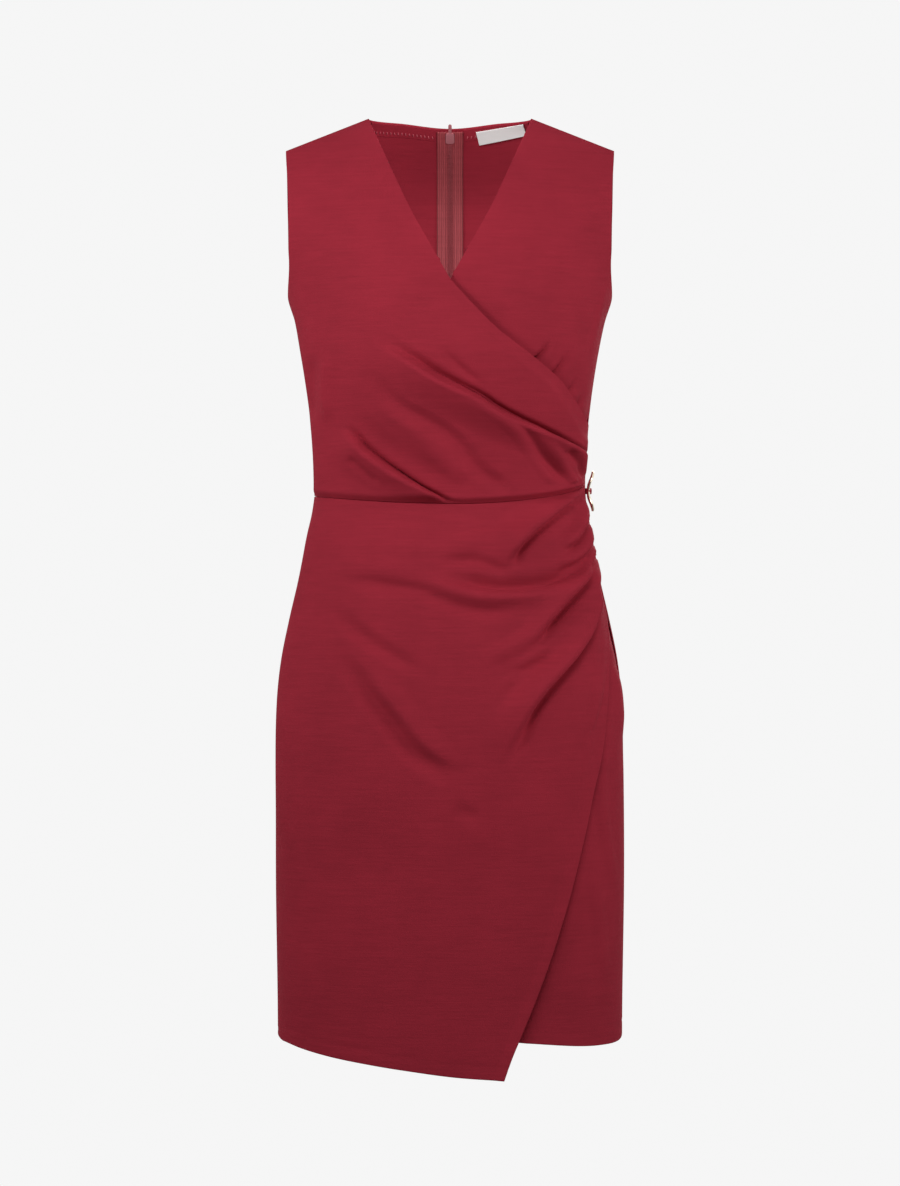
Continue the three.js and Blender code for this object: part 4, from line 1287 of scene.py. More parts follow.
@dataclass
class ZipTape(BackBodice):
    """One woven tape of the zip, inside the centre-back edge, from the neck to the zip's end."""

    wall: float = 0.8
    slot: str = "tape"
    flats: tuple = ((Rim.RIGHT, 0), (Rim.LEFT, 0))
    near_edge: float = 1.3
    far_edge: float = 12.6
    head: float = 11.6
    foot: float = -485.0
    clear: float = 0.15
    ribs: float = 0.4
    rib_pitch: float = 3.8
    pucker: float = 0.25
    count: tuple = (24, 420)

    def grid(self) -> Array:
        """Columns at even distances from the centre back, and rows at even heights.

        Returns:
            Places of angle and height, in rows and columns.
        """
        x = np.linspace(self.far_edge, self.near_edge, self.count[0] + 1)[None]
        height = np.linspace(self.head, self.foot, self.count[1] + 1)[:, None]
        x, height = np.broadcast_arrays(x, height)
        return np.stack([self.hand.value * FIGURE.angle_of(x, height), height], axis=-1)

    def rise(self, angle: Array, height: Array, spots: Array) -> tuple[Array, Array]:
        """Held inside the panel, with upright ribs: ribs * cos(2 pi x / rib_pitch), and a pucker.

        Args:
            angle: girth angles in radians.
            height: heights in mm.
            spots: grid places of the view.

        Returns:
            The lift in mm and the shift in grid steps.
        """
        x = np.abs(FIGURE.half_at(height) * np.sin(angle))
        ribs = self.ribs * np.cos(2 * math.pi * x / self.rib_pitch)
        pucker = self.pucker * np.sin(height / 7.0 + x / 3.0) * ease(4, 9, x) * ease(-150, -60, height)
        lift = -(self.clear + self.wall + self.ribs) + ribs + pucker
        return lift, np.zeros(spots.shape)


@dataclass
class NeckLabel(Cloth):
    """The bare label inside the back neck."""

    wall: float = 0.7
    slot: str = "label"
    flats: tuple = ()
    corners: tuple = ((476, 131.5), (523.5, 123.5), (527, 134.5), (479.5, 144.5))
    clear: float = 0.8
    stand: float = 0.5
    wave: float = 0.25
    count: tuple = (60, 18)

    def grid(self) -> Array:
        """Grid places mixed from the four corners, then found on the back.

        Returns:
            Places of angle and height, in rows and columns.
        """
        u = np.linspace(0, 1, self.count[0] + 1)[None, :, None]
        v = np.linspace(0, 1, self.count[1] + 1)[:, None, None]
        a, b, c, d = (np.array(corner, float) for corner in self.corners)
        spots = (1 - v) * ((1 - u) * a + u * b) + v * ((1 - u) * d + u * c)
        return VIEW.find(Face.BACK, spots)

    def rise(self, angle: Array, height: Array, spots: Array) -> tuple[Array, Array]:
        """Held inside the panel, its foot standing off a little, with a faint wave.

        Args:
            angle: girth angles in radians; not used.
            height: heights in mm; not used.
            spots: grid places of the view.

        Returns:
            The lift in mm and the shift in grid steps.
        """
        v = np.linspace(0, 1, spots.shape[0])[:, None]
        u = np.linspace(0, 1, spots.shape[1])[None]
        off = self.stand * v ** 2 + self.wave * np.sin(math.pi * u) * v
        return -(self.clear + self.wall) - off, np.zeros(spots.shape)


# The degrees of girth that the waist's tape stops short of the zip
STAY_CLEAR = 5.8


@dataclass
class WaistStay(Cloth):
    """A narrow tape inside the waist seam, on one half of the figure."""

    wall: float = 0.5
    flats: tuple = ((Rim.LEFT, 1), (Rim.RIGHT, 1))
    clear: float = 0.1
    half_width: float = 5.4
    first: float = -89.5
    last: float = 89.5
    count: int = 240

    def grid(self) -> Array:
        """Even girth angles, a few millimetres above and below the seam.

        Returns:
            Places of angle and height, in rows and columns.
        """
        angle = np.radians(np.linspace(self.first, self.last, self.count))[None]
        off = np.linspace(self.half_width, -self.half_width, 7)[:, None]
        height = FIGURE.waist(self.face, angle) + off
        return np.stack([np.broadcast_to(angle, height.shape), height], axis=-1)

    def rise(self, angle: Array, height: Array, spots: Array) -> tuple[Array, Array]:
        """Held just inside the panels."""
        return np.full(angle.shape, -self.clear - self.wall), np.zeros(spots.shape)


def swept(name: str, path: Array, first: Array, second: Array, sides: int, closed: bool) -> bpy.types.Object:
    """A round bar along a path: each ring is path + cos(t) * first + sin(t) * second.

    Args:
        name: the object's name.
        path: rows of points in mm.
        first: each ring's first half width.
        second: each ring's other half width.
        sides: points round a ring, an even number.
        closed: whether the path's ends meet.

    Returns:
        The object, with both ends closed.
    """
    turn = 2 * math.pi * np.arange(sides) / sides
    rings = (path[:, None] + np.cos(turn)[None, :, None] * first[:, None]
             + np.sin(turn)[None, :, None] * second[:, None])
    if closed:
        rings = np.concatenate([rings, rings[:1]])
    faces = grid_faces(len(rings), sides, wrap=True)
    points = rings.reshape(-1, 3)
    if closed:
        faces = faces % (len(path) * sides)
        points = points[:len(path) * sides]
    else:
        steps = np.arange(1, sides - 1, 2)
        cap = np.stack([np.zeros_like(steps), steps, steps + 1, steps + 2], axis=-1)
        faces = np.vstack([faces, cap[:, ::-1], cap + (len(rings) - 1) * sides])
    faces = faces if volume(points, faces) > 0 else faces[:, ::-1]
    return new_object(name, points, faces)


def along(points: Array, step: float) -> tuple[Array, Array]:
    """Places every step along a line in mm, and the way it runs there.

    Args:
        points: the line's rows.
        step: the distance between places.

    Returns:
        The places and the unit directions.
    """
    runs = np.concatenate([[0], np.cumsum(np.linalg.norm(np.diff(points, axis=0), axis=1))])
    at = np.arange(step / 2, runs[-1], step)
    spots = np.stack([np.interp(at, runs, points[:, axis]) for axis in range(3)], axis=-1)
    ahead = np.stack([np.interp(at + 0.5, runs, points[:, axis]) for axis in range(3)], axis=-1)
    behind = np.stack([np.interp(at - 0.5, runs, points[:, axis]) for axis in range(3)], axis=-1)
    way = ahead - behind
    return spots, way / np.linalg.norm(way, axis=-1, keepdims=True)


@dataclass
class Stitches:
    """A row of thread stitches: short bars with rounded ends, each turned from the row's line."""

    length: float = 2.8
    radius: float = 0.28
    slant: float = 0.0
    sides: int = 6

    def build(self, name: str, places: Array, way: Array, out: Array) -> bpy.types.Object:
        """Makes the row.

        A stitch's rings lie at -1, -0.8, 0.8 and 1 half lengths, with 0.3, 1, 1 and 0.3 radii.

        Args:
            name: the object's name.
            places: the stitches' middles in mm.
            way: the row's direction at each.
            out: the cloth's normal at each.

        Returns:
            The object.
        """
        aside = np.cross(out, way)
        run = way * math.cos(self.slant) + aside * math.sin(self.slant)
        cross = np.cross(out, run)
        t = np.array([-1, -0.8, 0.8, 1]) * self.length / 2
        r = np.array([0.3, 1, 1, 0.3]) * self.radius
        turn = 2 * math.pi * np.arange(self.sides) / self.sides
        ring = (np.cos(turn)[None, :, None] * cross[:, None] + np.sin(turn)[None, :, None] * out[:, None])
        points = (places[:, None, None] + run[:, None, None] * t[None, :, None, None]
                  + ring[:, None] * r[None, :, None, None])
        one = grid_faces(4, self.sides, wrap=True)
        steps = np.arange(1, self.sides - 1, 2)
        cap = np.stack([np.zeros_like(steps), steps, steps + 1, steps + 2], axis=-1)
        one = np.vstack([one, cap[:, ::-1], cap + 3 * self.sides])
        each = 4 * self.sides
        faces = (one[None] + each * np.arange(len(places))[:, None, None]).reshape(-1, 4)
        flat = points.reshape(-1, 3)
        faces = faces if volume(flat, faces) > 0 else faces[:, ::-1]
        return new_object(name, flat, faces)


@dataclass
class Zip:
    """The centre-back zip: two woven tapes, their interlocked coils, the slider's nose and the stop."""

    pitch: float = 1.25
    half_width: float = 1.75
    half_depth: float = 0.8
    offset: float = 1.1
    inside: float = 1.3
    thread: float = 0.42
    head: float = 5.0
    foot: float = -484.0
    per_turn: int = 10
    core_across: float = 0.85
    core_half: float = 0.7
    core_depth: float = 0.3
    stop_drop: float = 1.5
    stop_half: tuple = (3.2, 1.0, 1.6)
    nose_half: float = 1.7
    nose_depth: float = 2.3
    nose_foot: float = 4.0
    nose_top: float = 17.5
    nose_thick: float = 0.8
    slider_heights: tuple = (7.2, 10.2)

    def centre(self, height: Array) -> tuple[Array, Array]:
        """The coil's middle line and the cloth's normal, at heights down the centre back.

        Args:
            height: heights in mm.

        Returns:
            The line's points and the normals.
        """
        zero = np.zeros_like(height)
        normal = FIGURE.normal(Face.BACK, zero, height)
        return FIGURE.point(Face.BACK, zero, height) - normal * self.inside, normal

    def coil(self, hand: Hand) -> bpy.types.Object:
        """One side's coil: centre + half_width * cos(t) across + half_depth * sin(t) out.

        Args:
            hand: the wearer's hand.

        Returns:
            The object.
        """
        turns = (self.head - self.foot) / self.pitch
        t = np.linspace(0, 2 * math.pi * turns, int(turns * self.per_turn))
        head = self.head - (self.pitch / 2 if hand is Hand.LEFT else 0)
        height = head - self.pitch * t / (2 * math.pi)
        middle, normal = self.centre(height)
        sign = hand.value
        across = np.array([1.0, 0, 0])
        path = (middle + across * (sign * (self.offset + self.half_width * np.cos(t)))[:, None]
                + normal * (self.half_depth * np.sin(t))[:, None])
        way = np.gradient(path, axis=0)
        way /= np.linalg.norm(way, axis=-1, keepdims=True)
        first = np.cross(way, np.array([0.0, 0.0, 1.0]))
        first /= np.linalg.norm(first, axis=-1, keepdims=True)
        second = np.cross(way, first)
        name = f"zip_coil_{hand.name.lower()}"
        return swept(name, path, first * self.thread, second * self.thread, 6, False)

    def core(self, hand: Hand) -> bpy.types.Object:
        """The cord inside one side's coil.

        Args:
            hand: the wearer's hand.

        Returns:
            The object.
        """
        height = np.linspace(self.head + 0.8, self.foot - 0.6, 200)
        middle, normal = self.centre(height)
        across = np.broadcast_to(np.array([1.0, 0, 0]), middle.shape)
        path = middle + across * hand.value * self.core_across
        name = f"zip_core_{hand.name.lower()}"
        return swept(name, path, across * self.core_half, normal * self.core_depth, 8, False)

    def stop(self) -> bpy.types.Object:
        """The bottom stop, a short bar across the coil.

        Returns:
            The object.
        """
        height = np.array([self.foot - self.stop_drop])
        middle, _ = self.centre(height)
        across, deep, tall = np.diag(self.stop_half)
        path = middle + np.linspace(-1, 1, 9)[:, None] * across
        swell = np.sqrt(1 - np.linspace(-0.97, 0.97, 9) ** 2)[:, None]
        return swept("zip_stop", path, swell * deep, swell * tall, 8, False)

    def nose(self) -> bpy.types.Object:
        """The slider's rounded nose, which stands above the neck edge at the slider's lean.

        Returns:
            The object.
        """
        zero = np.zeros(2)
        heights = np.array(self.slider_heights)
        low, high = FIGURE.point(Face.BACK, zero, heights)
        up = (high - low) / np.linalg.norm(high - low)
        out = FIGURE.normal(Face.BACK, zero, heights)[0]
        t = np.linspace(0, 1, 13)[:, None]
        path = low - out * self.nose_depth + up * (self.nose_foot + t * (self.nose_top - self.nose_foot))
        swell = np.sqrt(np.maximum(1 - (np.clip(t - 0.85, 0, 1) / 0.1505) ** 2, 0.02))
        across = np.array([[1.0, 0, 0]])
        thick = out[None] * self.nose_thick * swell
        return swept("slider_nose", path, across * self.nose_half * swell, thick, 12, False)

    def build(self, tape: bpy.types.Material, coil: bpy.types.Material, metal: bpy.types.Material) -> None:
        """Makes the tapes, both coils with their cords, the stop and the nose.

        Args:
            tape: the tapes' material.
            coil: the coils' and their cords' material.
            metal: the stop's and the nose's material.
        """
        ZipTape("woven_tape_right", Face.BACK, "zip_tape_left", hand=Hand.RIGHT).build(tape, "dress")
        ZipTape("woven_tape_left", Face.BACK, "zip_tape_right", hand=Hand.LEFT).build(tape, "dress")
        for hand in (Hand.RIGHT, Hand.LEFT):
            dress_piece(self.coil(hand), coil)
            dress_piece(self.core(hand), coil)
        dress_piece(self.stop(), metal)
        dress_piece(self.nose(), metal)


def dress_piece(piece: bpy.types.Object, material: bpy.types.Material) -> None:
    """Gives a piece its material, and lets it ride on the dress.

    Args:
        piece: the piece.
        material: its material.
    """
    piece.data.materials.append(material)
    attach(piece, "dress")
    LOG.info("%s: %d faces", piece.name, len(piece.data.polygons))


@dataclass
class NeckBand(BackBodice):
    """The turned-in band inside one half of the back neckline."""

    wall: float = 0.5
    flats: tuple = ()
    first: float = 13.4
    last: float = 75.0
    edge: float = 0.5
    depth: float = 10.7
    clear: float = 0.06
    count: tuple = (80, 12)

    def grid(self) -> Array:
        """Even distances across, and even depths below the neckline.

        Returns:
            Places of angle and height, in rows and columns.
        """
        x = np.linspace(self.first, self.last, self.count[0] + 1)[None]
        drop = np.linspace(self.edge, self.depth, self.count[1] + 1)[:, None]
        height = neck_height(x) - drop
        x, height = np.broadcast_arrays(x, height)
        return np.stack([self.hand.value * FIGURE.angle_of(x, height), height], axis=-1)

    def rise(self, angle: Array, height: Array, spots: Array) -> tuple[Array, Array]:
        """Held just inside the panel."""
        return np.full(angle.shape, -self.clear - self.wall), np.zeros(spots.shape)


@dataclass
class NeckTrim:
    """The label, and the band and its looped stitching inside the back neck."""

    step: float = 3.9
    row_drop: float = 7.4
    proud: float = 0.75
    length: float = 3.4
    radius: float = 0.5
    slant: float = 1.15
    spans: tuple = ((15.0, 73.0, Hand.RIGHT), (15.0, 73.0, Hand.LEFT))

    def row(self, first: float, last: float, hand: Hand) -> Array:
        """Places on the inside of the back, row_drop below the neckline.

        Args:
            first: where it starts across, in mm.
            last: where it ends.
            hand: the wearer's hand.

        Returns:
            Rows of angle and height.
        """
        x = np.linspace(first, last, 60)
        height = neck_height(x) - self.row_drop
        return np.stack([hand.value * FIGURE.angle_of(x, height), height], axis=-1)

    def build(self, cloth: bpy.types.Material, label: bpy.types.Material, thread: bpy.types.Material) -> None:
        """Makes the label, both halves of the band and the band's stitches.

        Args:
            cloth: the band's material.
            label: the label's material.
            thread: the stitches' material.
        """
        NeckLabel("bare_label", Face.BACK, "neck_label").build(label, "dress")
        for first, last, hand in self.spans:
            name = hand.name.lower()
            NeckBand(f"neck_band_{name}", Face.BACK, "", hand=hand).build(cloth, "dress")
            places = self.row(first, last, hand)
            points = FIGURE.point(Face.BACK, places[:, 0], places[:, 1])
            spots, way = along(points, self.step)
            angle = hand.value * np.abs(FIGURE.angle_of(spots[:, 0], spots[:, 2]))
            out = -FIGURE.normal(Face.BACK, angle, spots[:, 2])
            bars = Stitches(length=self.length, radius=self.radius, slant=self.slant * hand.value)
            row = bars.build(f"neck_stitches_{name}", spots + out * self.proud, way, out)
            dress_piece(row, thread)


@dataclass
class HemStitches:
    """The small pricks of thread that catch the hems."""

    step: float = 7.5
    sunk: float = 0.38
    edge_clear: float = 4.0
    spans: tuple = (("under", Face.FRONT, 26, 86), ("back_right", Face.BACK, -88, -1),
                    ("back_left", Face.BACK, 1, 88))
    bar: Stitches = field(default_factory=lambda: Stitches(length=1.6, radius=0.2))

    def row(self, name: str, face: Face, places: Array, material: bpy.types.Material) -> None:
        """One row on the outside of the cloth, along chart places.

        Args:
            name: the row's name.
            face: front or back.
            places: rows of angle and height.
            material: the thread's material.
        """
        points = FIGURE.point(face, places[:, 0], places[:, 1])
        spots, way = along(points, self.step)
        angle = FIGURE.angle_of(spots[:, 0], spots[:, 2])
        out = FIGURE.normal(face, angle, spots[:, 2])
        row = self.bar.build(name, spots + out * (WALL - self.sunk), way, out)
        dress_piece(row, material)

    def build(self, material: bpy.types.Material) -> None:
        """The rows of the wrapped hem, the hem beneath it and both back hems.

        Args:
            material: the thread's material.
        """
        spots = smooth_path(OVER_HEM) - np.array([0, HEM_DEPTH / VIEW.step])
        inside = beside(SKIRT_EDGE, spots) > self.edge_clear
        self.row("hem_stitches_over", Face.FRONT, VIEW.find(Face.FRONT, spots[inside]), material)
        for name, face, first, last in self.spans:
            angle = np.radians(np.linspace(first, last, 80))
            edge = under_hem(angle) if face is Face.FRONT else np.full_like(angle, FIGURE.hem)
            places = np.stack([angle, edge + HEM_DEPTH], axis=-1)
            self.row(f"hem_stitches_{name}", face, places, material)


@dataclass
class RingTab:
    """The cloth tab that holds the ring's waist to the side seam."""

    seat: float = 130.9
    y: float = -8.0
    z: float = -336.5
    reach: float = 3.0
    half_length: float = 5.4
    half_height: float = 2.8
    wall: float = 0.55
    steps: int = 96

    def build(self, cloth: bpy.types.Material) -> None:
        """A flat loop round the ring's waist: an ellipse of reach by half_length.

        Args:
            cloth: the tab's material.
        """
        t = 2 * math.pi * np.arange(self.steps) / self.steps
        out = np.stack([np.cos(t) * self.half_length, np.sin(t) * self.reach, 0 * t], axis=-1)
        out /= np.linalg.norm(out, axis=-1, keepdims=True)
        path = np.stack([self.seat + self.reach * np.cos(t), self.y + self.half_length * np.sin(t),
                         self.z + 0 * t], axis=-1)
        tall = np.zeros_like(path)
        tall[:, 2] = self.half_height
        dress_piece(swept("ring_tab", path, out * self.wall, tall, 16, True), cloth)


def set_socket(node: bpy.types.Node, **values: object) -> None:
    """Sets a node's inputs by name, with underscores for spaces."""
    for key, value in values.items():
        node.inputs[key.replace("_", " ")].default_value = value


@dataclass(frozen=True)
class ClothGroup:
    """A node group that gives cloth its colour and normal. Scales are for each metre."""

    name: str = "cloth_surface"
    slub_scale: tuple = (26, 26, 420)
    grain_scale: float = 1400.0
    cloud_scale: float = 14.0
    bump_height: float = 0.0004

    def build(self) -> bpy.types.NodeTree:
        """Slubs across the cloth, a fine grain, a faint mottle and their bump.

        Returns:
            The group, with a colour and a normal out.
        """
        tree = bpy.data.node_groups.new(self.name, "ShaderNodeTree")
        face = tree.interface
        for label, kind, value in (("Colour", "NodeSocketColor", (0.3, 0.02, 0.04, 1)),
                                   ("Depth", "NodeSocketFloat", 0.4),
                                   ("Mottle", "NodeSocketFloat", 0.06)):
            face.new_socket(label, in_out="INPUT", socket_type=kind).default_value = value
        face.new_socket("Colour", in_out="OUTPUT", socket_type="NodeSocketColor")
        face.new_socket("Normal", in_out="OUTPUT", socket_type="NodeSocketVector")
        nodes, links = tree.nodes, tree.links
        ins, outs = nodes.new("NodeGroupInput"), nodes.new("NodeGroupOutput")
        where = nodes.new("ShaderNodeTexCoord")
        slub_map = nodes.new("ShaderNodeMapping")
        slub_map.inputs["Scale"].default_value = self.slub_scale
        links.new(where.outputs["Object"], slub_map.inputs["Vector"])
        slub = nodes.new("ShaderNodeTexNoise")
        set_socket(slub, Scale=1.0, Detail=4.0, Roughness=0.7)
        links.new(slub_map.outputs["Vector"], slub.inputs["Vector"])
        grain = nodes.new("ShaderNodeTexNoise")
        set_socket(grain, Scale=self.grain_scale, Detail=2.0, Roughness=0.6)
        links.new(where.outputs["Object"], grain.inputs["Vector"])
        cloud = nodes.new("ShaderNodeTexNoise")
        set_socket(cloud, Scale=self.cloud_scale, Detail=3.0, Roughness=0.6)
        links.new(where.outputs["Object"], cloud.inputs["Vector"])
        height = nodes.new("ShaderNodeMath")
        height.operation = "ADD"
        links.new(slub.outputs["Fac"], height.inputs[0])
        links.new(grain.outputs["Fac"], height.inputs[1])
        bump = nodes.new("ShaderNodeBump")
        set_socket(bump, Distance=self.bump_height)
        links.new(height.outputs[0], bump.inputs["Height"])
        links.new(ins.outputs["Depth"], bump.inputs["Strength"])
        links.new(bump.outputs["Normal"], outs.inputs["Normal"])
        tone = nodes.new("ShaderNodeMath")
        tone.operation = "MULTIPLY_ADD"
        mix = nodes.new("ShaderNodeMath")
        mix.operation = "ADD"
        links.new(slub.outputs["Fac"], mix.inputs[0])
        links.new(cloud.outputs["Fac"], mix.inputs[1])
        centred = nodes.new("ShaderNodeMath")
        centred.operation = "SUBTRACT"
        centred.inputs[1].default_value = 1.0
        links.new(mix.outputs[0], centred.inputs[0])
        links.new(centred.outputs[0], tone.inputs[0])
        links.new(ins.outputs["Mottle"], tone.inputs[1])
        tone.inputs[2].default_value = 1.0
        scale = nodes.new("ShaderNodeVectorMath")
        scale.operation = "SCALE"
        links.new(ins.outputs["Colour"], scale.inputs[0])
        links.new(tone.outputs[0], scale.inputs["Scale"])
        links.new(scale.outputs[0], outs.inputs["Colour"])
        return tree


@dataclass(frozen=True)
class ClothFinish:
    """A matt cloth's finish: its colour, fineness, roughness and sheen."""

    name: str
    colour: tuple
    depth: float = 0.5
    mottle: float = 0.36
    roughness: float = 0.85
    sheen: float = 0.4
    sheen_roughness: float = 0.5
    specular: float = 0.12

    def material(self, group: bpy.types.NodeTree) -> bpy.types.Material:
        """Makes the material with the shared cloth group feeding its shader.

        Args:
            group: the cloth group.

        Returns:
            The material.
        """
        made = bpy.data.materials.new(self.name)
        made.use_nodes = True
        nodes, links = made.node_tree.nodes, made.node_tree.links
        shader = nodes["Principled BSDF"]
        set_socket(shader, Roughness=self.roughness, Sheen_Weight=self.sheen,
                   Sheen_Roughness=self.sheen_roughness, Sheen_Tint=(*self.colour, 1.0),
                   Specular_IOR_Level=self.specular)
        cloth = nodes.new("ShaderNodeGroup")
        cloth.node_tree = group
        set_socket(cloth, Colour=(*self.colour, 1.0), Depth=self.depth, Mottle=self.mottle)
        links.new(cloth.outputs["Colour"], shader.inputs["Base Color"])
        links.new(cloth.outputs["Normal"], shader.inputs["Normal"])
        return made


@dataclass(frozen=True)
class PaintedShadeTapeFinish(ClothFinish):
    """A woven tape's finish: the cloth's, with painted shade along its woven lines and along its outer edge.
    """

    line_pitch: float = 0.00203
    # The darkest shares of the colour where shade is painted along the lines and along the outer edge
    line_painted_shade: float = 0.62
    line_wave: tuple = (-1.0, -0.1)
    edge_width: float = 0.0011
    edge_painted_shade: float = 0.42

    def material(self, group: bpy.types.NodeTree) -> bpy.types.Material:
        """Scales the cloth's colour by cos(2 pi u / line_pitch) and by u / edge_width, both held, which
        paints shade between the ribs and along the outer edge.

        Args:
            group: the cloth group.

        Returns:
            The material, which reads the tape's own length across, u, from its UV map.
        """
        made = super().material(group)
        nodes, links = made.node_tree.nodes, made.node_tree.links
        base = nodes["Principled BSDF"].inputs["Base Color"]
        where = nodes.new("ShaderNodeUVMap")
        where.uv_map = "cloth"
        split = nodes.new("ShaderNodeSeparateXYZ")
        links.new(where.outputs["UV"], split.inputs[0])
        turn, wave, both = (nodes.new("ShaderNodeMath") for _ in range(3))
        turn.operation, wave.operation, both.operation = "MULTIPLY", "COSINE", "MULTIPLY"
        turn.inputs[1].default_value = 2 * math.pi / self.line_pitch
        links.new(split.outputs["X"], turn.inputs[0])
        links.new(turn.outputs[0], wave.inputs[0])
        # lines and edge are painted shade: darker between the ribs and along the tape's outer edge
        lines, edge = nodes.new("ShaderNodeMapRange"), nodes.new("ShaderNodeMapRange")
        set_socket(lines, From_Min=self.line_wave[0], From_Max=self.line_wave[1], To_Min=self.line_painted_shade)
        set_socket(edge, From_Max=self.edge_width, To_Min=self.edge_painted_shade)
        links.new(wave.outputs[0], lines.inputs["Value"])
        links.new(split.outputs["X"], edge.inputs["Value"])
        links.new(lines.outputs["Result"], both.inputs[0])
        links.new(edge.outputs["Result"], both.inputs[1])
        shaded = nodes.new("ShaderNodeVectorMath")
        shaded.operation = "SCALE"
        links.new(base.links[0].from_socket, shaded.inputs[0])
        links.new(both.outputs[0], shaded.inputs["Scale"])
        links.new(shaded.outputs[0], base)
        return made


@dataclass(frozen=True)
class MetalFinish:
    """A metal's finish, with faint scratches in its roughness."""

    name: str
    colour: tuple
    roughness: float
    metallic: float = 1.0
    scratch_scale: float = 300.0
    vary: tuple = (0.7, 1.3)

    def material(self) -> bpy.types.Material:
        """Makes the material, whose roughness varies a little over the surface.

        Returns:
            The material.
        """
        made = bpy.data.materials.new(self.name)
        made.use_nodes = True
        nodes, links = made.node_tree.nodes, made.node_tree.links
        shader = nodes["Principled BSDF"]
        set_socket(shader, Base_Color=(*self.colour, 1.0), Metallic=self.metallic)
        where = nodes.new("ShaderNodeTexCoord")
        wear = nodes.new("ShaderNodeTexNoise")
        set_socket(wear, Scale=self.scratch_scale, Detail=3.0)
        links.new(where.outputs["Object"], wear.inputs["Vector"])
        spread_out = nodes.new("ShaderNodeMapRange")
        least, most = self.vary
        set_socket(spread_out, To_Min=self.roughness * least, To_Max=self.roughness * most)
        links.new(wear.outputs["Fac"], spread_out.inputs["Value"])
        links.new(spread_out.outputs["Result"], shader.inputs["Roughness"])
        return made


@dataclass(frozen=True)
class FloorFinish:
    """The pale floor, which glows for the camera only."""

    name: str = "pale_floor"
    grey: float = 0.8
    roughness: float = 0.9
    glow: float = 0.81

    def material(self) -> bpy.types.Material:
        """Makes the material.

        Returns:
            The material, lit up by the camera's own rays.
        """
        paint = bpy.data.materials.new(self.name)
        paint.use_nodes = True
        nodes, links = paint.node_tree.nodes, paint.node_tree.links
        shader = nodes["Principled BSDF"]
        set_socket(shader, Base_Color=(self.grey, self.grey, self.grey, 1.0), Roughness=self.roughness,
                   Specular_IOR_Level=0.0, Emission_Color=(1.0, 1.0, 1.0, 1.0))
        path = nodes.new("ShaderNodeLightPath")
        glow = nodes.new("ShaderNodeMapRange")
        set_socket(glow, To_Min=0.0, To_Max=self.glow)
        links.new(path.outputs["Is Camera Ray"], glow.inputs["Value"])
        links.new(glow.outputs["Result"], shader.inputs["Emission Strength"])
        return paint


@dataclass(frozen=True)
class Lamp:
    """A square area light: its place, side, watts, the place it faces, and its angle in degrees."""

    name: str
    stands: tuple
    size: float
    power: float
    aim: tuple
    spread: float

    def build(self) -> None:
        """Adds the light, unseen by the camera and turned towards its aim."""
        data = bpy.data.lights.new(self.name, "AREA")
        data.size = self.size
        data.energy = self.power
        data.spread = math.radians(self.spread)
        lamp = bpy.data.objects.new(self.name, data)
        lamp.location = self.stands
        lamp.visible_camera = False
        way = Vector(self.aim) - Vector(self.stands)
        lamp.rotation_euler = way.to_track_quat("-Z", "Y").to_euler()
        bpy.context.scene.collection.objects.link(lamp)


LAMPS = (
    Lamp("side_left", (-1.65, -0.95, 0.2), 0.8, 9.4, (0, 0, 0.05), 115),
    Lamp("side_right", (1.65, -0.95, 0.0), 0.8, 5.2, (0, 0, -0.2), 115),
    Lamp("right", (1.4, -1.5, 0.05), 0.9, 3.4, (0, 0, -0.1), 120),
    Lamp("front", (0.0, -1.4, 0.45), 0.5, 3.2, (0, 0, 0.25), 120),
    Lamp("back", (0.5, 2.0, 0.4), 1.0, 9.0, (0, 0, -0.35), 120),
    Lamp("neck", (0.0, -0.06, -0.01), 0.09, 0.075, (0, 0.1, -0.02), 180),
)


@dataclass
class Studio:
    """The pale room, its soft lights and the level camera."""

    distance: float = 4.0
    eye_height: float = -0.433
    view_height: float = 1.1267
    floor_height: float = -1.6
    pale: float = 0.92
    fill: float = 0.11
    floor_half: float = 3000.0
    sensor: float = 36.0

    def camera(self) -> None:
        """A level camera whose long side takes in view_height at the dress's side seams."""
        data = bpy.data.cameras.new("camera")
        data.sensor_width = self.sensor
        data.lens = self.sensor * self.distance / self.view_height
        eye = bpy.data.objects.new("camera", data)
        eye.location = (0.0, -self.distance, self.eye_height)
        eye.rotation_euler = (SIDE, 0.0, 0.0)
        bpy.context.scene.collection.objects.link(eye)
        bpy.context.scene.camera = eye

    def world(self, scene: bpy.types.Scene) -> None:
        """A pale world that lends the cloth only a part of its light.

        Args:
            scene: the scene that it surrounds.
        """
        world = bpy.data.worlds.new("pale_room")
        world.use_nodes = True
        nodes, links = world.node_tree.nodes, world.node_tree.links
        back = nodes["Background"]
        set_socket(back, Color=(1.0, 1.0, 1.0, 1.0))
        path = nodes.new("ShaderNodeLightPath")
        share = nodes.new("ShaderNodeMapRange")
        set_socket(share, To_Min=self.pale, To_Max=self.fill)
        links.new(path.outputs["Is Diffuse Ray"], share.inputs["Value"])
        links.new(share.outputs["Result"], back.inputs["Strength"])
        scene.world = world

    def build(self) -> None:
        """Sets the world, lights, floor and camera."""
        scene = bpy.context.scene
        scene.view_settings.view_transform = "Standard"
        self.world(scene)
        for lamp in LAMPS:
            lamp.build()
        points = self.floor_half * np.array([[-1.0, -1, 0], [1, -1, 0], [1, 1, 0], [-1, 1, 0]])
        points[:, 2] = self.floor_height / MM
        floor = new_object("floor", points, np.array([[0, 1, 2, 3]]))
        floor.data.materials.append(FloorFinish().material())
        self.camera()


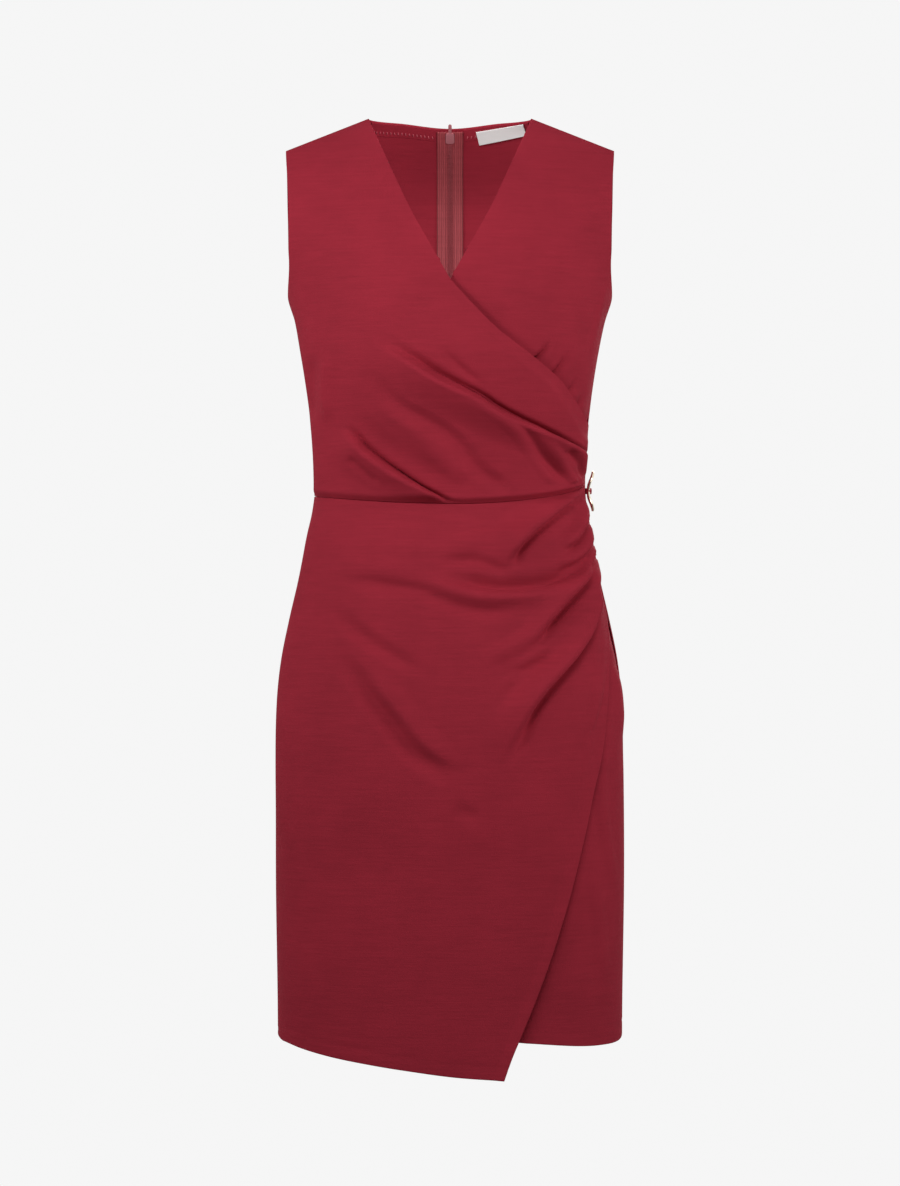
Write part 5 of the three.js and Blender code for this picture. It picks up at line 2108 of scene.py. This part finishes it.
def main() -> None:
    """Builds the dress piece by piece, logging the faces of each piece made through dress_piece."""
    logging.basicConfig(level=logging.INFO)
    group = ClothGroup().build()
    cloth = ClothFinish("wine_crepe", (0.305, 0.0187, 0.035)).material(group)
    # The tape's material has painted shade along its woven lines and its outer edge
    tape = PaintedShadeTapeFinish("rose_tape", (0.39, 0.068, 0.08), roughness=0.5, sheen=0.5).material(group)
    coil = ClothFinish("rose_coil", (0.3, 0.055, 0.066), roughness=0.45, sheen=0.5).material(group)
    thread = ClothFinish("rose_thread", (0.5, 0.1, 0.13), roughness=0.6).material(group)
    satin = ClothFinish("pale_label", (0.84, 0.83, 0.82), depth=0.15, roughness=0.6, mottle=0.1)
    label = satin.material(group)
    gold = MetalFinish("pale_gold", (0.86, 0.77, 0.60), 0.12).material()
    enamel = MetalFinish("rose_enamel", (0.5, 0.165, 0.19), 0.35, 0.2).material()
    pieces = [
        OverBodice("wrap_front_over", Face.FRONT, "front_bodice_over", held="gathered"),
        UnderBodice("wrap_front_under", Face.FRONT, "front_bodice_under"),
        BackBodice("upper_back_right", Face.BACK, "back_bodice_left", hand=Hand.RIGHT),
        BackBodice("upper_back_left", Face.BACK, "back_bodice_right", hand=Hand.LEFT),
        OverSkirt("skirt_front_over", Face.FRONT, "front_skirt_over", fineness=7, held="gathered"),
        UnderSkirt("skirt_front_under", Face.FRONT, "front_skirt_under"),
        BackSkirt("skirt_back_right", Face.BACK, "back_skirt_left", hand=Hand.RIGHT),
        BackSkirt("skirt_back_left", Face.BACK, "back_skirt_right", hand=Hand.LEFT),
    ]
    for piece in pieces:
        piece.build(cloth, "dress")
    WaistStay("waist_stay_front", Face.FRONT, "").build(cloth, "dress")
    WaistStay("waist_stay_back_right", Face.BACK, "", last=-STAY_CLEAR).build(cloth, "dress")
    WaistStay("waist_stay_back_left", Face.BACK, "", first=STAY_CLEAR).build(cloth, "dress")
    Zip().build(tape, coil, enamel)
    NeckTrim().build(cloth, label, thread)
    HemStitches().build(cloth)
    RingTab().build(cloth)
    for node, material in (("side_ring", gold), ("zip_slider", enamel), ("zip_pull", enamel)):
        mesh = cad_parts[node].data
        mesh.materials.clear()
        mesh.materials.append(material)
    Studio().build()


if __name__ == "__main__":
    main()
